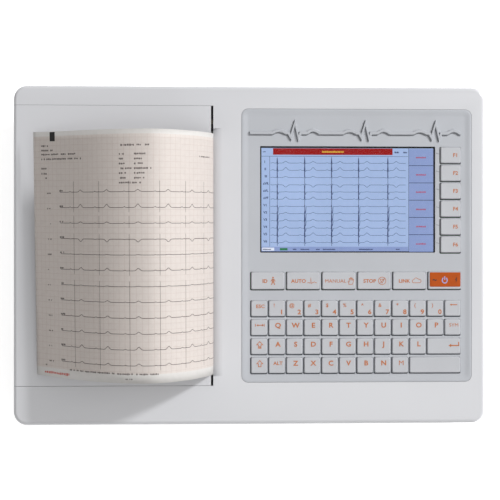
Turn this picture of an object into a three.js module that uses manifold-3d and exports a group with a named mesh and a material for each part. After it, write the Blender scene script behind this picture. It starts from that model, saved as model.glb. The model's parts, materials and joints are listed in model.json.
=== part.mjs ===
// Desktop A4 electrocardiograph recorder: a low wedge-shaped machine with a colour display,
// a full keyboard and a built-in thermal printer that feeds 210 mm chart paper.
//
// Units are millimetres. +X is the operator's right, +Y the rear and +Z up. The origin is
// under the middle of the machine, on the surface that it stands on.
//
// The deck slopes up to the rear. Everything that lies in it or hangs under it is placed in
// the deck's own frame: x as above, y up the slope, z out of the deck, zero on its surface.

import * as THREE from 'three';
import { mergeVertices } from 'three/addons/utils/BufferGeometryUtils.js';
import Module from 'manifold-3d';

const wasm = await Module();
wasm.setup();

// ---- Driving dimensions ---------------------------------------------------------------

const WIDTH = 420;
const DEPTH = 300;
const CORNER_RADIUS = 13;
const WALL = 3;
const DECK_THICKNESS = 4;
const EDGE_RADIUS = 3.5;
const DRAFT = 1;

const FOOT_HEIGHT = 3;
const PARTING_Z = 30;
const DECK_FRONT_Z = 60;
const DECK_REAR_Z = 88;
const DECK_MID_Z = (DECK_FRONT_Z + DECK_REAR_Z) / 2;
const DECK_SLOPE = Math.atan((DECK_REAR_Z - DECK_FRONT_Z) / DEPTH);

// Clearance between pieces that touch on the real machine.
const GAP = 0.3;

// Paper compartment and its sliding door, in the deck frame.
const DOOR_X = [-230, -35.3];
const DOOR_Y = [-115.2, 131.9];
const DECK_EDGE_X = -33.3;
const PAPER_Y = [-103.5, 106.5];
const SHEET_X = -34.35;
const SHEET_THICKNESS = 0.3;
const ARCH_HEIGHT = 57;
const CREST_X = -88;
const SHEET_END = [-191.5, 5];
const PACK_LENGTH = 140;
const PACK_RIGHT = -56;
const PACK_TOP = -25.6;
const TRAY_X = [-201, -49.5];
const TRAY_Y = [-106.5, 109.5];
const TRAY_FLOOR = -46;
const TRAY_WALL = 2;
const TRAY_RIM = -24;
// How far below the deck the posts under the tray end.
const TRAY_STAND = 49.5;

// Platen roller and its gear train, seen along +Y of the deck frame as [x, z].
const PLATEN = [-41.6, -14];
const PLATEN_RADIUS = 6.8;
const SHAFT_RADIUS = 2.5;
const MODULE = 0.8;
const PLATEN_TEETH = 20;
const IDLER_TEETH = 40;
const PINION_TEETH = 14;
const CENTRE_ALLOWANCE = 0.25;
const GEAR_Y = [117, 121];

// Control panel, display and keys, in the deck frame.
const PANEL_X = [-8.3, 196.7];
const PANEL_Y = [-112.7, 129.5];
const PANEL_RADIUS = 6;
const PANEL_BORDER = 6;
const PANEL_RIM = 0.6;
const PANEL_EDGE_Z = -0.2;
const PANEL_FIELD_Z = -1.2;
const PANEL_UNDER_Z = -2.6;
const WINDOW_X = [8.2, 164.3];
const WINDOW_Y = [2.2, 96.6];
const LENS_Z = [-2.4, -1.3];
const KEY_TOP = 0.3;
const KEY_RADIUS = 1.2;
const KEY_CLEARANCE = 0.4;
const KEYS_LEFT = 0.1;

// Opening in the deck under the panel.
const WELL_X = [-3, 190.5];
const WELL_Y = [-108, 101];

const FUNCTION_KEYS = { count: 6, left: 168.9, top: 96.1, pitch: 15.93, width: 18.3, height: 14.4 };
const COMMAND_KEYS = ['id', 'auto', 'manual', 'stop', 'link', 'power'];
const COMMAND_KEY = { top: -15, pitch: 31.54, width: 29.4, height: 15.5 };
const LETTER_KEY = { top: -40.3, pitchX: 15.68, pitchY: 16.8, width: 14.2, height: 14.1 };

// Columns that each row of the keyboard spans: first and last column of every key.
const single = (column) => [column, column];
const COLUMNS = [...Array(12).keys()];
const KEY_ROWS = [
  COLUMNS.map(single),
  COLUMNS.map(single),
  [...COLUMNS.slice(0, 10).map(single), [10, 11]],
  [...COLUMNS.slice(0, 9).map(single), [9, 11]],
];

// ---- Materials ------------------------------------------------------------------------

const plastic = (color, roughness) => new THREE.MeshStandardMaterial({ color, roughness });
const metal = (color, roughness) => new THREE.MeshStandardMaterial({ color, roughness, metalness: 1 });

const whitePlastic = () => plastic(0xe9e9ec, 0.25);
const greyPlastic = () => plastic(0xb6bac2, 0.5);
const blackPlastic = () => plastic(0x1c1c1f, 0.5);
const rubber = () => plastic(0x2a2a2c, 0.85);
const circuitBoard = () => plastic(0x1f5a36, 0.55);
const gearPlastic = () => plastic(0xe8e2cf, 0.5);
const steel = () => metal(0xb8bbc0, 0.35);
const aluminium = () => metal(0xc9ccd1, 0.4);
const brass = () => metal(0xc9a24a, 0.35);

// ---- Solid helpers --------------------------------------------------------------------

function toSolid(geometry) {
  const bare = geometry.clone();
  bare.deleteAttribute('normal');
  bare.deleteAttribute('uv');
  const merged = mergeVertices(bare, 1e-4);
  return new wasm.Manifold(new wasm.Mesh({
    numProp: 3,
    vertProperties: new Float32Array(merged.attributes.position.array),
    triVerts: new Uint32Array(merged.index.array),
  }));
}

function toGeometry(solid) {
  const mesh = solid.getMesh();
  const geometry = new THREE.BufferGeometry();
  geometry.setAttribute('position', new THREE.BufferAttribute(mesh.vertProperties, 3));
  geometry.setIndex(new THREE.BufferAttribute(mesh.triVerts, 1));
  geometry.computeVertexNormals();
  return geometry;
}

function combine(operation, first, others) {
  return toGeometry(others.reduce((solid, other) => solid[operation](toSolid(other)), toSolid(first)));
}

const join = (first, ...others) => combine('add', first, others);
const cut = (first, ...others) => combine('subtract', first, others);
const common = (first, ...others) => combine('intersect', first, others);

function box([x0, x1], [y0, y1], [z0, z1]) {
  return new THREE.BoxGeometry(x1 - x0, y1 - y0, z1 - z0)
    .translate((x0 + x1) / 2, (y0 + y1) / 2, (z0 + z1) / 2);
}

// A round bar along x, y or z. Its centre is given in the other two coordinates.
function rod(axis, radius, [from, to], [u, v], segments = 16) {
  const bar = new THREE.CylinderGeometry(radius, radius, to - from, segments);
  const middle = (from + to) / 2;
  if (axis === 'x') return bar.rotateZ(-Math.PI / 2).translate(middle, u, v);
  if (axis === 'y') return bar.translate(u, middle, v);
  return bar.rotateX(Math.PI / 2).translate(u, v, middle);
}

// A body turned about a vertical axis at [x, y]. The profile is a list of [radius, height]
// from the bottom of the axis to its top.
function turned(profile, [x, y], segments = 14) {
  const points = profile.map(([radius, height]) => new THREE.Vector2(radius, height));
  return new THREE.LatheGeometry(points, segments).rotateX(Math.PI / 2).translate(x, y, 0);
}

// An outline drawn in x and z, extruded along y.
function alongY(shape, [y0, y1]) {
  return new THREE.ExtrudeGeometry(shape, { depth: y1 - y0, bevelEnabled: false, curveSegments: 10 })
    .rotateX(Math.PI / 2).translate(0, y1, 0);
}

// One level of a rounded rectangle. The height is a number or a function of y.
function roundedRing([x0, x1], [y0, y1], radius, height, steps = 1) {
  const corners = [
    [x1 - radius, y1 - radius],
    [x0 + radius, y1 - radius],
    [x0 + radius, y0 + radius],
    [x1 - radius, y0 + radius],
  ];
  return corners.flatMap(([centreX, centreY], corner) =>
    Array.from({ length: steps + 1 }, (_, step) => {
      const angle = (corner + step / steps) * Math.PI / 2;
      const x = centreX + radius * Math.cos(angle);
      const y = centreY + radius * Math.sin(angle);
      return new THREE.Vector3(x, y, typeof height === 'function' ? height(y) : height);
    }));
}

// A closed body through rings of equal length, from the lowest to the highest.
function loft(rings) {
  const count = rings[0].length;
  const top = (rings.length - 1) * count;
  const faces = [];
  for (let start = 0; start < top; start += count) {
    for (let i = 0; i < count; i++) {
      const a = start + i;
      const b = start + (i + 1) % count;
      faces.push(a, b, b + count, a, b + count, a + count);
    }
  }
  for (let i = 1; i < count - 1; i++) {
    faces.push(0, i + 1, i, top, top + i, top + i + 1);
  }
  const geometry = new THREE.BufferGeometry();
  const numbers = rings.flat().flatMap((point) => point.toArray());
  geometry.setAttribute('position', new THREE.Float32BufferAttribute(numbers, 3));
  geometry.setIndex(faces);
  geometry.computeVertexNormals();
  return geometry;
}

const grow = ([low, high], amount) => [low - amount, high + amount];
const around = (centre, halfWidth) => [centre - halfWidth, centre + halfWidth];

// ---- Assembly -------------------------------------------------------------------------

const machine = new THREE.Group();
const deck = new THREE.Group();
deck.position.set(0, 0, DECK_MID_Z);
deck.rotation.x = DECK_SLOPE;
deck.updateMatrix();
machine.add(deck);

function add(group, name, geometry, material) {
  const mesh = new THREE.Mesh(geometry, material);
  mesh.name = name;
  group.add(mesh);
}

const deckZ = (y) => DECK_MID_Z + y * Math.tan(DECK_SLOPE);
const fromDeck = (geometry) => geometry.applyMatrix4(deck.matrix);

// ---- Casing ---------------------------------------------------------------------------

const CASING_STEPS = 4;
const EDGE_STEPS = 3;
const SCREW_X = 196;
const SCREW_Y = 136;
const FOOT_X = 180;
const FOOT_Y = 122;
const CORNERS = [
  ['front_left', -1, -1],
  ['front_right', 1, -1],
  ['rear_left', -1, 1],
  ['rear_right', 1, 1],
];

const BATTERY_X = [40, 140];
const BATTERY_Y = [-100, 20];
const BATTERY_WALL = { thickness: 2, top: 27 };
const SPEAKER = [5, -100];
const GRILLE = { slots: [-2, -1, 0, 1, 2], pitch: 6, halfLength: 12, halfWidth: 1.5 };
const VENTS = { count: 6, left: 100, pitch: 12, halfWidth: 2, y: [60, 100] };
const BOARD_POSTS = [[31, -90], [180, -88], [31, 20], [180, 20], [70, 106], [178, 52]];
const TRAY_POSTS = [[-185, -85], [-68, -85], [-185, 85], [-68, 85]];
const BOARD_Z = 31;

// Screws hold the two shells together through posts in the corners.
const POST_RADIUS = 5;
const BOARD_POST_RADIUS = 4;
const SCREW = { headRadius: 3, head: [17.2, 19.4], radius: 1.5, tip: 40 };
const SCREW_CLEARANCE = 0.4;
const FOOT = { radius: 11, pad: 10, stem: 3, barb: 4, barbZ: 6.8, top: 9 };

// Insets of the base's outside at its bottom and at the top of its lower bevel.
const BASE_BEVEL = { bottom: 7, top: 2, height: 6 };
// Chamfer inside the shell, where its walls meet the deck.
const INNER_CHAMFER = { drop: 4, run: 2 };

// Long cutters that pass through a wall or through the bottom.
const THROUGH_REAR = [140, 160];
const THROUGH_RIGHT = [200, 220];
const THROUGH_BOTTOM = [0, 10];

function casingRing(inset, height) {
  return roundedRing(
    around(0, WIDTH / 2 - inset), around(0, DEPTH / 2 - inset),
    Math.max(CORNER_RADIUS - inset, 3), height, CASING_STEPS);
}

function upperOutside() {
  const edge = Array.from({ length: EDGE_STEPS + 1 }, (_, step) => {
    const angle = step / EDGE_STEPS * Math.PI / 2;
    return casingRing(
      DRAFT + EDGE_RADIUS * (1 - Math.cos(angle)),
      (y) => deckZ(y) - EDGE_RADIUS * (1 - Math.sin(angle)));
  });
  return loft([casingRing(0, PARTING_Z + GAP / 2), ...edge]);
}

function upperInside() {
  return loft([
    casingRing(WALL, PARTING_Z - 5),
    casingRing(WALL + DRAFT, (y) => deckZ(y) - DECK_THICKNESS - INNER_CHAMFER.drop),
    casingRing(WALL + DRAFT + INNER_CHAMFER.run, (y) => deckZ(y) - DECK_THICKNESS),
  ]);
}

const MAINS_X = [118, 172];
const MAINS_Z = [38, 68];
const LAN_X = [70, 86];
const LAN_Z = [40, 53.5];
const USB_X = [48, 62];
const USB_Z = [41, 48];

// The earth stud stands in a round cup in the rear wall.
const STUD = [97, 50];
const CUP = { outside: 10, inside: 8, back: 138, floor: 140, rim: 148.5 };
const STUD_HOLE = 3.4;

// The patient connector has a jack screw on each side of its shell.
const PATIENT = { y: -60, z: 46, halfWidth: 13, halfHeight: 4.3, jack: 17, jackRadius: 2.5 };
const PATIENT_CLEARANCE = 0.5;

// The door's side edges rest on a ledge along each side of the compartment.
const LEDGE = { x: [-204, -37], z: [-9.3, -4.6], reach: 3, outside: 2.2, wallTop: -1 };

function doorLedges() {
  const { x, z, reach, outside, wallTop } = LEDGE;
  const [front, rear] = DOOR_Y;
  return [
    box(x, [front - outside, front + reach], z),
    box(x, [front - outside, front - GAP], [z[0], wallTop]),
    box(x, [rear - reach, rear + outside], z),
    box(x, [rear + GAP, rear + outside], [z[0], wallTop]),
  ].map(fromDeck);
}

function topShell() {
  const bosses = CORNERS.map(([, sx, sy]) => {
    const top = deckZ(sy * SCREW_Y) - DECK_THICKNESS / 2;
    return rod('z', POST_RADIUS, [PARTING_Z + 2 * GAP, top], [sx * SCREW_X, sy * SCREW_Y], 12);
  });
  const studCup = rod('y', CUP.outside, [CUP.back, CUP.rim], STUD, 24);
  const body = join(cut(upperOutside(), upperInside()), ...bosses, studCup);

  const doorway = fromDeck(box([DOOR_X[0], DECK_EDGE_X], grow(DOOR_Y, GAP), [-90, 20]));
  const panelSeat = fromDeck(loft([-2.9, 5].map((height) =>
    roundedRing(grow(PANEL_X, GAP), grow(PANEL_Y, GAP), PANEL_RADIUS + GAP, height, CASING_STEPS))));
  const keyWell = fromDeck(box(WELL_X, WELL_Y, [-20, 5]));
  const screwHoles = CORNERS.map(([, sx, sy]) =>
    rod('z', SCREW.radius + GAP, [PARTING_Z, SCREW.tip + 2], [sx * SCREW_X, sy * SCREW_Y], 10));
  const jackHoles = [-PATIENT.jack, PATIENT.jack].map((offset) =>
    rod('x', PATIENT.jackRadius + SCREW_CLEARANCE, THROUGH_RIGHT, [PATIENT.y + offset, PATIENT.z], 12));
  const ports = [
    box(MAINS_X, THROUGH_REAR, MAINS_Z),
    box(grow(LAN_X, GAP), THROUGH_REAR, grow(LAN_Z, GAP)),
    box(grow(USB_X, GAP), THROUGH_REAR, grow(USB_Z, GAP)),
    rod('y', CUP.inside, THROUGH_REAR, STUD, 24),
    rod('y', STUD_HOLE, [CUP.back - 8, CUP.floor + 2], STUD, 12),
    box(
      THROUGH_RIGHT,
      around(PATIENT.y, PATIENT.halfWidth + PATIENT_CLEARANCE),
      around(PATIENT.z, PATIENT.halfHeight + PATIENT_CLEARANCE)),
    ...jackHoles,
  ];
  const opened = cut(body, doorway, panelSeat, keyWell, ...screwHoles, ...ports);
  return join(opened, ...doorLedges());
}

function baseShell() {
  const outside = loft([
    casingRing(BASE_BEVEL.bottom, FOOT_HEIGHT),
    casingRing(BASE_BEVEL.top, FOOT_HEIGHT + BASE_BEVEL.height),
    casingRing(0, PARTING_Z - GAP / 2),
  ]);
  const inside = loft([
    casingRing(WALL + BASE_BEVEL.height, FOOT_HEIGHT + WALL),
    casingRing(WALL + BASE_BEVEL.top - 0.5, FOOT_HEIGHT + WALL + BASE_BEVEL.height),
    casingRing(WALL, PARTING_Z + 5),
  ]);
  const wallX = grow(BATTERY_X, BATTERY_WALL.thickness);
  const wallY = grow(BATTERY_Y, BATTERY_WALL.thickness);
  const floor = FOOT_HEIGHT + 1;
  const batteryWalls = cut(
    box(wallX, wallY, [floor, BATTERY_WALL.top]),
    box(BATTERY_X, BATTERY_Y, [0, BATTERY_WALL.top + 1]));
  const screwPosts = CORNERS.map(([, sx, sy]) =>
    rod('z', POST_RADIUS, [floor, PARTING_Z - 2 * GAP], [sx * SCREW_X, sy * SCREW_Y], 12));
  const boardPosts = BOARD_POSTS.map((place) =>
    rod('z', BOARD_POST_RADIUS, [floor, BOARD_Z - GAP], place, 8));
  const trayPosts = TRAY_POSTS.map(([x, y]) =>
    rod('z', POST_RADIUS, [floor, deckZ(y) - TRAY_STAND], [x, y], 8));
  const body = join(
    cut(outside, inside), batteryWalls, ...screwPosts, ...boardPosts, ...trayPosts);

  const screwHoles = CORNERS.flatMap(([, sx, sy]) => [
    rod('z', SCREW.headRadius + 2 * GAP, [0, SCREW.head[1] + GAP], [sx * SCREW_X, sy * SCREW_Y], 12),
    rod('z', SCREW.radius + SCREW_CLEARANCE, [SCREW.head[0], SCREW.tip], [sx * SCREW_X, sy * SCREW_Y], 10),
  ]);
  const footHoles = CORNERS.map(([, sx, sy]) =>
    rod('z', FOOT.stem + SCREW_CLEARANCE, THROUGH_BOTTOM, [sx * FOOT_X, sy * FOOT_Y], 12));
  const grille = GRILLE.slots.map((slot) => box(
    around(SPEAKER[0], GRILLE.halfLength),
    around(SPEAKER[1] + slot * GRILLE.pitch, GRILLE.halfWidth),
    THROUGH_BOTTOM));
  const vents = Array.from({ length: VENTS.count }, (_, slot) =>
    box(around(VENTS.left + slot * VENTS.pitch, VENTS.halfWidth), VENTS.y, THROUGH_BOTTOM));
  return cut(
    body, box(BATTERY_X, BATTERY_Y, THROUGH_BOTTOM), ...screwHoles, ...footHoles, ...grille, ...vents);
}

function caseScrew(x, y) {
  const { headRadius, head: [bottom, shoulder], radius, tip } = SCREW;
  return turned([
    [0, bottom], [headRadius, bottom], [headRadius, shoulder], [radius, shoulder],
    [radius, tip - 1], [0, tip],
  ], [x, y], 12);
}

// A rubber foot, held by a barbed stem in a hole of the base.
function foot(x, y) {
  const { radius, pad, stem, barb, barbZ, top } = FOOT;
  const shoulder = FOOT_HEIGHT - GAP;
  return turned([
    [0, 0], [pad, 0], [radius, 0.8], [radius, shoulder], [stem, shoulder],
    [stem, barbZ - 0.4], [barb, barbZ], [stem, top], [0, top],
  ], [x, y]);
}

add(machine, 'base_shell', baseShell(), whitePlastic());
add(machine, 'top_shell', topShell(), whitePlastic());
for (const [corner, sx, sy] of CORNERS) {
  add(machine, `foot_${corner}`, foot(sx * FOOT_X, sy * FOOT_Y), rubber());
  add(machine, `case_screw_${corner}`, caseScrew(sx * SCREW_X, sy * SCREW_Y), steel());
}

// ---- Paper door: slides to the left with the platen roller under its inner edge -------

const ARM_X = [-52, -36];
const ARM_BOTTOM = -20;
const FRONT_ARM_Y = [-111.5, -108.5];
const REAR_ARM_Y = [111, 114];
const BUSH_RADIUS = 4.5;

// Just under the door's skin, where its arms, hooks and ribs start.
const UNDER_SKIN = -3;

// A lip along each side edge of the door hooks under the shell's ledge.
const HOOK_X = [-200, -40];
const HOOK_Z = [-11, -9.6];
const HOOKS = [
  { web: [-111.6, -110.4], lip: [-114.3, -110.4] },
  { web: [127.1, 128.3], lip: [127.1, 131] },
];
const RIBS = { lefts: [-170, -130, -90], thickness: 2, y: [-108, 125], bottom: -7 };

// Shallow recess in the door's left wall for the fingers that slide it.
const GRIP = { x: [-212, -208.4], y: [-28, 44], z: [46, 58] };

function paperDoor() {
  const region = fromDeck(box(DOOR_X, DOOR_Y, [-90, 20]));
  const skin = common(cut(upperOutside(), upperInside()), region);
  const arms = [FRONT_ARM_Y, REAR_ARM_Y].map((y) => box(ARM_X, y, [ARM_BOTTOM, UNDER_SKIN]));
  const hooks = HOOKS.flatMap(({ web, lip }) => [
    box(HOOK_X, web, [HOOK_Z[0], UNDER_SKIN]),
    box(HOOK_X, lip, HOOK_Z),
  ]);
  const ribs = RIBS.lefts.map((x) => box([x, x + RIBS.thickness], RIBS.y, [RIBS.bottom, UNDER_SKIN]));
  const bushHoles = [FRONT_ARM_Y, REAR_ARM_Y].map((y) =>
    rod('y', BUSH_RADIUS + GAP, grow(y, 2), PLATEN, 14));
  const body = join(skin, ...[...arms, ...hooks, ...ribs].map(fromDeck));
  return cut(body, ...bushHoles.map(fromDeck), box(GRIP.x, GRIP.y, GRIP.z));
}

function platenBush(y) {
  return cut(
    rod('y', BUSH_RADIUS, y, PLATEN, 14),
    rod('y', SHAFT_RADIUS + GAP, grow(y, 1), PLATEN));
}

add(machine, 'paper_door', paperDoor(), whitePlastic());
add(deck, 'platen_bush_front', platenBush(FRONT_ARM_Y), brass());
add(deck, 'platen_bush_rear', platenBush(REAR_ARM_Y), brass());

// ---- Platen and gear train ------------------------------------------------------------

const pitchRadius = (teeth) => teeth * MODULE / 2;

function towards([x, z], distance, degrees) {
  const angle = THREE.MathUtils.degToRad(degrees);
  return [x + distance * Math.cos(angle), z + distance * Math.sin(angle)];
}

// Directions of the lines of centres, in degrees above +X.
const IDLER_DIRECTION = -38;
const PINION_DIRECTION = -5;
const IDLER = towards(
  PLATEN, pitchRadius(PLATEN_TEETH + IDLER_TEETH) + CENTRE_ALLOWANCE, IDLER_DIRECTION);
const PINION = towards(
  IDLER, pitchRadius(IDLER_TEETH + PINION_TEETH) + CENTRE_ALLOWANCE, PINION_DIRECTION);

// Angle of one tooth of each gear, in degrees, so that teeth face gaps on both lines of centres.
const PLATEN_PHASE = IDLER_DIRECTION;
const IDLER_PHASE = IDLER_DIRECTION + 180 + 180 / IDLER_TEETH;
const PINION_PHASE = PINION_DIRECTION + 180 + 180 / PINION_TEETH
  + (PINION_DIRECTION - IDLER_PHASE) * IDLER_TEETH / PINION_TEETH;

const PRESSURE_ANGLE = THREE.MathUtils.degToRad(20);
const ADDENDUM = 0.9 * MODULE;
const DEDENDUM = 1.3 * MODULE;
const FLANK_RELIEF = 0.1;
const PLATEN_SHAFT_Y = [-111.8, 122.5];
const IDLER_PIN = { radius: 2, head: 3.2, y: [111, 122.5], headLength: 1.2 };
const PINION_SHAFT = { radius: 1.9, y: [103, 121] };
const MOTOR = { radius: 15, y: [92, 110.5], earY: [109.5, 112.2], earHalfWidth: 6, earReach: 20 };
const MOTOR_PLUG = { y: [86, 95], below: [14, 6] };

// Half the angle that a tooth fills at a radius, for involute flanks.
function toothHalfAngle(teeth, radius) {
  const involute = (angle) => Math.tan(angle) - angle;
  const base = pitchRadius(teeth) * Math.cos(PRESSURE_ANGLE);
  const here = Math.acos(Math.min(1, base / Math.max(radius, base)));
  const relief = FLANK_RELIEF / pitchRadius(teeth);
  return Math.PI / (2 * teeth) + involute(PRESSURE_ANGLE) - involute(here) - relief;
}

function gear(teeth, phaseDegrees, centre, bore) {
  const pitch = pitchRadius(teeth);
  const radii = [pitch - DEDENDUM, pitch, pitch + ADDENDUM];
  const points = [];
  for (let tooth = 0; tooth < teeth; tooth++) {
    const middle = THREE.MathUtils.degToRad(phaseDegrees) + tooth * 2 * Math.PI / teeth;
    for (const side of [-1, 1]) {
      const flank = side < 0 ? radii : [...radii].reverse();
      for (const radius of flank) {
        const angle = middle + side * toothHalfAngle(teeth, radius);
        points.push(new THREE.Vector2(
          centre[0] + radius * Math.cos(angle), centre[1] + radius * Math.sin(angle)));
      }
    }
  }
  return cut(alongY(new THREE.Shape(points), GEAR_Y), rod('y', bore, grow(GEAR_Y, 5), centre));
}

function platenRoller() {
  const y = grow(PAPER_Y, 2);
  return cut(
    rod('y', PLATEN_RADIUS, y, PLATEN, 32),
    rod('y', SHAFT_RADIUS + GAP, grow(y, 1), PLATEN));
}

function idlerPin() {
  const { radius, head, y: [back, end], headLength } = IDLER_PIN;
  return join(
    rod('y', radius, [back + GAP, end], IDLER),
    rod('y', head, [end - headLength, end], IDLER),
    rod('y', head, [back, back + headLength], IDLER));
}

function motorPinion() {
  const shaft = rod('y', PINION_SHAFT.radius, PINION_SHAFT.y, PINION);
  return join(gear(PINION_TEETH, PINION_PHASE, PINION, PINION_SHAFT.radius - GAP), shaft);
}

function stepperMotor() {
  const earX = around(PINION[0], MOTOR.earHalfWidth);
  const plugZ = MOTOR_PLUG.below.map((depth) => PINION[1] - depth);
  const body = join(
    rod('y', MOTOR.radius, MOTOR.y, PINION, 20),
    box(earX, MOTOR.earY, around(PINION[1], MOTOR.earReach)),
    box(earX, MOTOR_PLUG.y, plugZ));
  return cut(body, rod('y', PINION_SHAFT.radius + 0.5, [100, 120], PINION));
}

add(deck, 'platen_shaft', rod('y', SHAFT_RADIUS, PLATEN_SHAFT_Y, PLATEN), steel());
add(deck, 'platen_roller', platenRoller(), rubber());
add(deck, 'platen_gear', gear(PLATEN_TEETH, PLATEN_PHASE, PLATEN, SHAFT_RADIUS + GAP), gearPlastic());
add(deck, 'idler_gear', gear(IDLER_TEETH, IDLER_PHASE, IDLER, IDLER_PIN.radius + GAP), gearPlastic());
add(deck, 'idler_pin', idlerPin(), steel());
add(deck, 'motor_pinion', motorPinion(), brass());
add(deck, 'stepper_motor', stepperMotor(), metal(0x8e9196, 0.4));

// ---- Printer frame, thermal head, springs, tear bar -----------------------------------

const FRAME_X = [-19, -17.5];
const FRAME_Y = [-110, 114];
const FRAME_Z = [-41.5, -6];
const HEAD_FACE_X = SHEET_X + SHEET_THICKNESS / 2 + GAP;
const HEAD_Y = [-107, 111];
const HEAD_Z = [-26, -6.3];
const HEAD_THICKNESS = 2.5;
const SINK_BACK_X = HEAD_FACE_X + 9;
const FIN = { count: 4, pitch: 2.4, tip: SINK_BACK_X - 2, root: SINK_BACK_X - 4 };
const SPRING_Y = [-60, 60];
const SPRING_Z = -16;
const SPRING = { turns: 4, stepsPerTurn: 8, radius: 2.6, wire: 0.45 };
const PLATE = 1.5;
const END_PLATES = { front: [-33, FRAME_X[1]], rear: [-33.2, 24], rearBottom: -53 };
const FRAME_FLOOR_X = [-47, FRAME_X[1]];
const MOTOR_OPENING = 5.5;
const TEAR_BAR = { back: -26, root: -32.4, bottom: -5.4, thickness: 0.8, pitch: 5 };

// Folded sheet steel: an upright back plate, a floor and two end plates.
function printerFrame() {
  const [frontY, rearY] = FRAME_Y;
  const plates = join(
    box(FRAME_X, FRAME_Y, FRAME_Z),
    box(FRAME_FLOOR_X, FRAME_Y, [FRAME_Z[0], FRAME_Z[0] + PLATE]),
    box(END_PLATES.front, [frontY, frontY + PLATE], FRAME_Z),
    box(END_PLATES.rear, [rearY - PLATE, rearY], [END_PLATES.rearBottom, FRAME_Z[1]]));
  const through = grow([rearY - PLATE, rearY], 5);
  return cut(
    plates, rod('y', IDLER_PIN.radius + GAP, through, IDLER), rod('y', MOTOR_OPENING, through, PINION, 20));
}

function heatSink() {
  const front = HEAD_FACE_X + HEAD_THICKNESS + GAP;
  const shape = new THREE.Shape();
  shape.moveTo(front, HEAD_Z[0]);
  shape.lineTo(FIN.tip, HEAD_Z[0]);
  for (let fin = 0; fin < FIN.count; fin++) {
    const bottom = HEAD_Z[0] + fin * FIN.pitch;
    shape.lineTo(fin ? FIN.root : FIN.tip, bottom + FIN.pitch / 2);
    shape.lineTo(FIN.root, bottom + FIN.pitch / 2);
    shape.lineTo(FIN.root, bottom + FIN.pitch);
    shape.lineTo(FIN.tip, bottom + FIN.pitch);
  }
  shape.lineTo(SINK_BACK_X, HEAD_Z[0] + FIN.count * FIN.pitch);
  shape.lineTo(SINK_BACK_X, HEAD_Z[1]);
  shape.lineTo(front, HEAD_Z[1]);
  return alongY(shape, HEAD_Y);
}

// A coil spring along x, with its ends held clear of the pieces that it presses on.
function headSpring(y) {
  const { turns, stepsPerTurn, radius, wire } = SPRING;
  const start = SINK_BACK_X + GAP + wire;
  const length = FRAME_X[0] - GAP - wire - start;
  const steps = turns * stepsPerTurn;
  const points = Array.from({ length: steps + 1 }, (_, step) => {
    const angle = step / stepsPerTurn * 2 * Math.PI;
    return new THREE.Vector3(
      start + length * step / steps, y + radius * Math.cos(angle), SPRING_Z + radius * Math.sin(angle));
  });
  const sides = 5;
  const section = new THREE.Shape(Array.from({ length: sides }, (_, side) => {
    const angle = side * 2 * Math.PI / sides;
    return new THREE.Vector2(wire * Math.cos(angle), wire * Math.sin(angle));
  }));
  return new THREE.ExtrudeGeometry(section, {
    steps, bevelEnabled: false, extrudePath: new THREE.CatmullRomCurve3(points),
  });
}

// A toothed blade under the deck's edge of the slot.
function tearBar() {
  const { back, root, bottom, thickness, pitch } = TEAR_BAR;
  const shape = new THREE.Shape();
  shape.moveTo(back, PAPER_Y[0]);
  for (let y = PAPER_Y[0]; y < PAPER_Y[1]; y += pitch) {
    shape.lineTo(root, y);
    shape.lineTo(DECK_EDGE_X, y + pitch / 2);
  }
  shape.lineTo(root, PAPER_Y[1]);
  shape.lineTo(back, PAPER_Y[1]);
  return new THREE.ExtrudeGeometry(shape, { depth: thickness, bevelEnabled: false })
    .translate(0, 0, bottom);
}

function paperSensor() {
  return join(
    box([-46, -39], [-2, 10], [-39.7, -34]),
    box([-44.5, -40.5], [0, 8], [-35, -26.5]));
}

add(deck, 'printer_frame', printerFrame(), steel());
add(deck, 'print_head',
  box([HEAD_FACE_X, HEAD_FACE_X + HEAD_THICKNESS], HEAD_Y, HEAD_Z), plastic(0xd8d4c8, 0.3));
add(deck, 'head_heat_sink', heatSink(), aluminium());
add(deck, 'head_spring_front', headSpring(SPRING_Y[0]), steel());
add(deck, 'head_spring_rear', headSpring(SPRING_Y[1]), steel());
add(deck, 'tear_bar', tearBar(), steel());
add(deck, 'paper_sensor', paperSensor(), blackPlastic());

// ---- Paper tray, paper pack and the printed sheet -------------------------------------

// An open tray whose right wall is lower where the sheet leaves it.
function paperTray() {
  const mouth = { x: around(TRAY_X[1], 4), y: grow(TRAY_Y, -10), z: [-27, 0] };
  return cut(
    box(TRAY_X, TRAY_Y, [TRAY_FLOOR - TRAY_WALL, TRAY_RIM]),
    box(grow(TRAY_X, -TRAY_WALL), grow(TRAY_Y, -TRAY_WALL), [TRAY_FLOOR, 0]),
    box(mouth.x, mouth.y, mouth.z));
}

// Centre line of the sheet in x and z: off the pack, round the platen, up through the slot,
// and over in an arch whose free end hangs just above the door.
function sheetLine() {
  const wrap = PLATEN_RADIUS + GAP + SHEET_THICKNESS / 2;
  const slotX = PLATEN[0] + wrap;
  const path = new THREE.Path();
  path.moveTo(-64, PACK_TOP + 0.5);
  path.lineTo(-54, PACK_TOP + 1);
  path.quadraticCurveTo(-48, PLATEN[1] - wrap, PLATEN[0], PLATEN[1] - wrap);
  path.absarc(PLATEN[0], PLATEN[1], wrap, -Math.PI / 2, 0);
  path.lineTo(slotX, 0);
  path.bezierCurveTo(-27, 10, -60, ARCH_HEIGHT, CREST_X, ARCH_HEIGHT);
  path.bezierCurveTo(-118, ARCH_HEIGHT, -158, 33, SHEET_END[0], SHEET_END[1]);
  return path.getPoints(8);
}

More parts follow.
